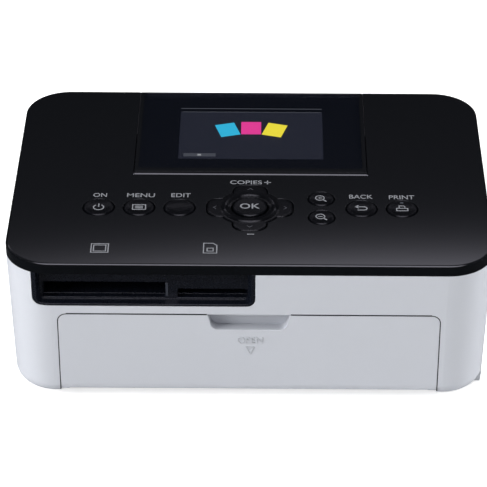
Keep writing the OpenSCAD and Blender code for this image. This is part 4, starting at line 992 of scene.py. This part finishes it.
# The picture's height above the display, and how far each card lies above the one to its left
LIGHT_RISE, LIGHT_STEP = 0.01, 0.012
CARD_HALF_X, CARD_HALF_Y = 3.9, 4.8
CARD_SPACING, CARD_TILT = 9.2, 16
CARD_Y, MIDDLE_CARD_BACK = 35.5, 1.4
BAR_Y, BAR_WIDTH, DOT_WIDTH = 16.2, 2.4, 1.2
THIN_LINE, REAR_LINE_RISE = 0.35, 0.12

light_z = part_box("display_panel")[1].z / MM + LIGHT_RISE


def screen_light(name, colour, strength):
    """Light of one colour on the display."""
    glow, tree, shader = principled(
        name, "101010", Roughness=0.3, Emission_Color=linear(colour), Emission_Strength=strength
    )
    grain(tree, shader, CLEAR_SPOTS, 1e-7)
    return glow


def photo_card(index):
    """One of the three cards, from left to right."""
    turn = Matrix.Rotation(math.radians(CARD_TILT * (1 - index)), 2)
    back = MIDDLE_CARD_BACK if index == 1 else 0
    middle = Vector((CARD_SPACING * (index - 1), CARD_Y + back))
    sides = [
        [middle + turn @ Vector((x, y)) for y in (CARD_HALF_Y, -CARD_HALF_Y)]
        for x in (-CARD_HALF_X, CARD_HALF_X)
    ]

    def draw(bm):
        band(bm, sides, light_z + LIGHT_STEP * index, LIGHT_THICK, False)

    return draw


def progress_bar(bm):
    stroke(bm, [(-26.0, BAR_Y), (-13.6, BAR_Y)], BAR_WIDTH, light_z, LIGHT_THICK)


def progress_dot(bm):
    stroke(bm, [(-20.6, BAR_Y), (-19.2, BAR_Y)], DOT_WIDTH, light_z + LIGHT_STEP, LIGHT_THICK)


def highlight_lines(bm):
    stroke(bm, [(-27.4, 49.4), (27.4, 49.4)], THIN_LINE, light_z, LIGHT_THICK)
    stroke(bm, [(-27.9, 52.0), (27.9, 52.0)], THIN_LINE, light_z + REAR_LINE_RISE, LIGHT_THICK)


# Backlight through the cell's colours: the cards clear and bright, the greys weaker
cards = [("picture_cyan", "30b8e0"), ("picture_magenta", "e83c98"), ("picture_yellow", "f4e43c")]
for index, (name, colour) in enumerate(cards):
    piece(name, photo_card(index), screen_light(name, colour, 1.8), "screen")
piece("picture_bar", progress_bar, screen_light("picture_grey", "5a5d66", 1.0), "screen")
piece("picture_dot", progress_dot, screen_light("picture_white", "c8cad0", 1.0), "screen")
# The two thin lines at the display's rear edge are painted highlights, glowing grey
piece("painted_highlight_lines", highlight_lines, screen_light("painted_highlight_line", "5a5d66", 1.0), "screen")


# ---------------------------------------------------------------------------------------------
# Screen seam shadows
# Black strips of painted shadow in the seams on both sides of the screen, on the walls of the
# cover's well. They are lower at the rear end and stay when the screen tilts. In mm.
# ---------------------------------------------------------------------------------------------

SCREEN_SEAM_OUT, SCREEN_SEAM_WIDTH, SCREEN_SEAM_FOOT = 0.15, 0.24, 56.6
SCREEN_SEAM_FRONT, SCREEN_SEAM_STEP, SCREEN_SEAM_BACK = 30.0, 62.9, 63.4
SCREEN_SEAM_TALL, SCREEN_SEAM_LOW = 3.7, 2.9


def screen_seam_shadows(bm):
    for side in (-1, 1):
        x = side * (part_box("screen_frame")[1].x / MM + SCREEN_SEAM_OUT)
        stroke(bm, [(x, SCREEN_SEAM_FRONT), (x, SCREEN_SEAM_STEP)], SCREEN_SEAM_WIDTH, SCREEN_SEAM_FOOT, SCREEN_SEAM_TALL)
        stroke(bm, [(x, SCREEN_SEAM_STEP), (x, SCREEN_SEAM_BACK)], SCREEN_SEAM_WIDTH, SCREEN_SEAM_FOOT, SCREEN_SEAM_LOW)


# Painted shadow in the screen seams: black, without any sheen
seam_shadow_black, tree, shader = principled("painted_screen_seam_shadow", "060607", Roughness=0.95)
grain(tree, shader, COARSE_SPOTS, 2e-5)
piece("screen_seam_shadows", screen_seam_shadows, seam_shadow_black, "root")
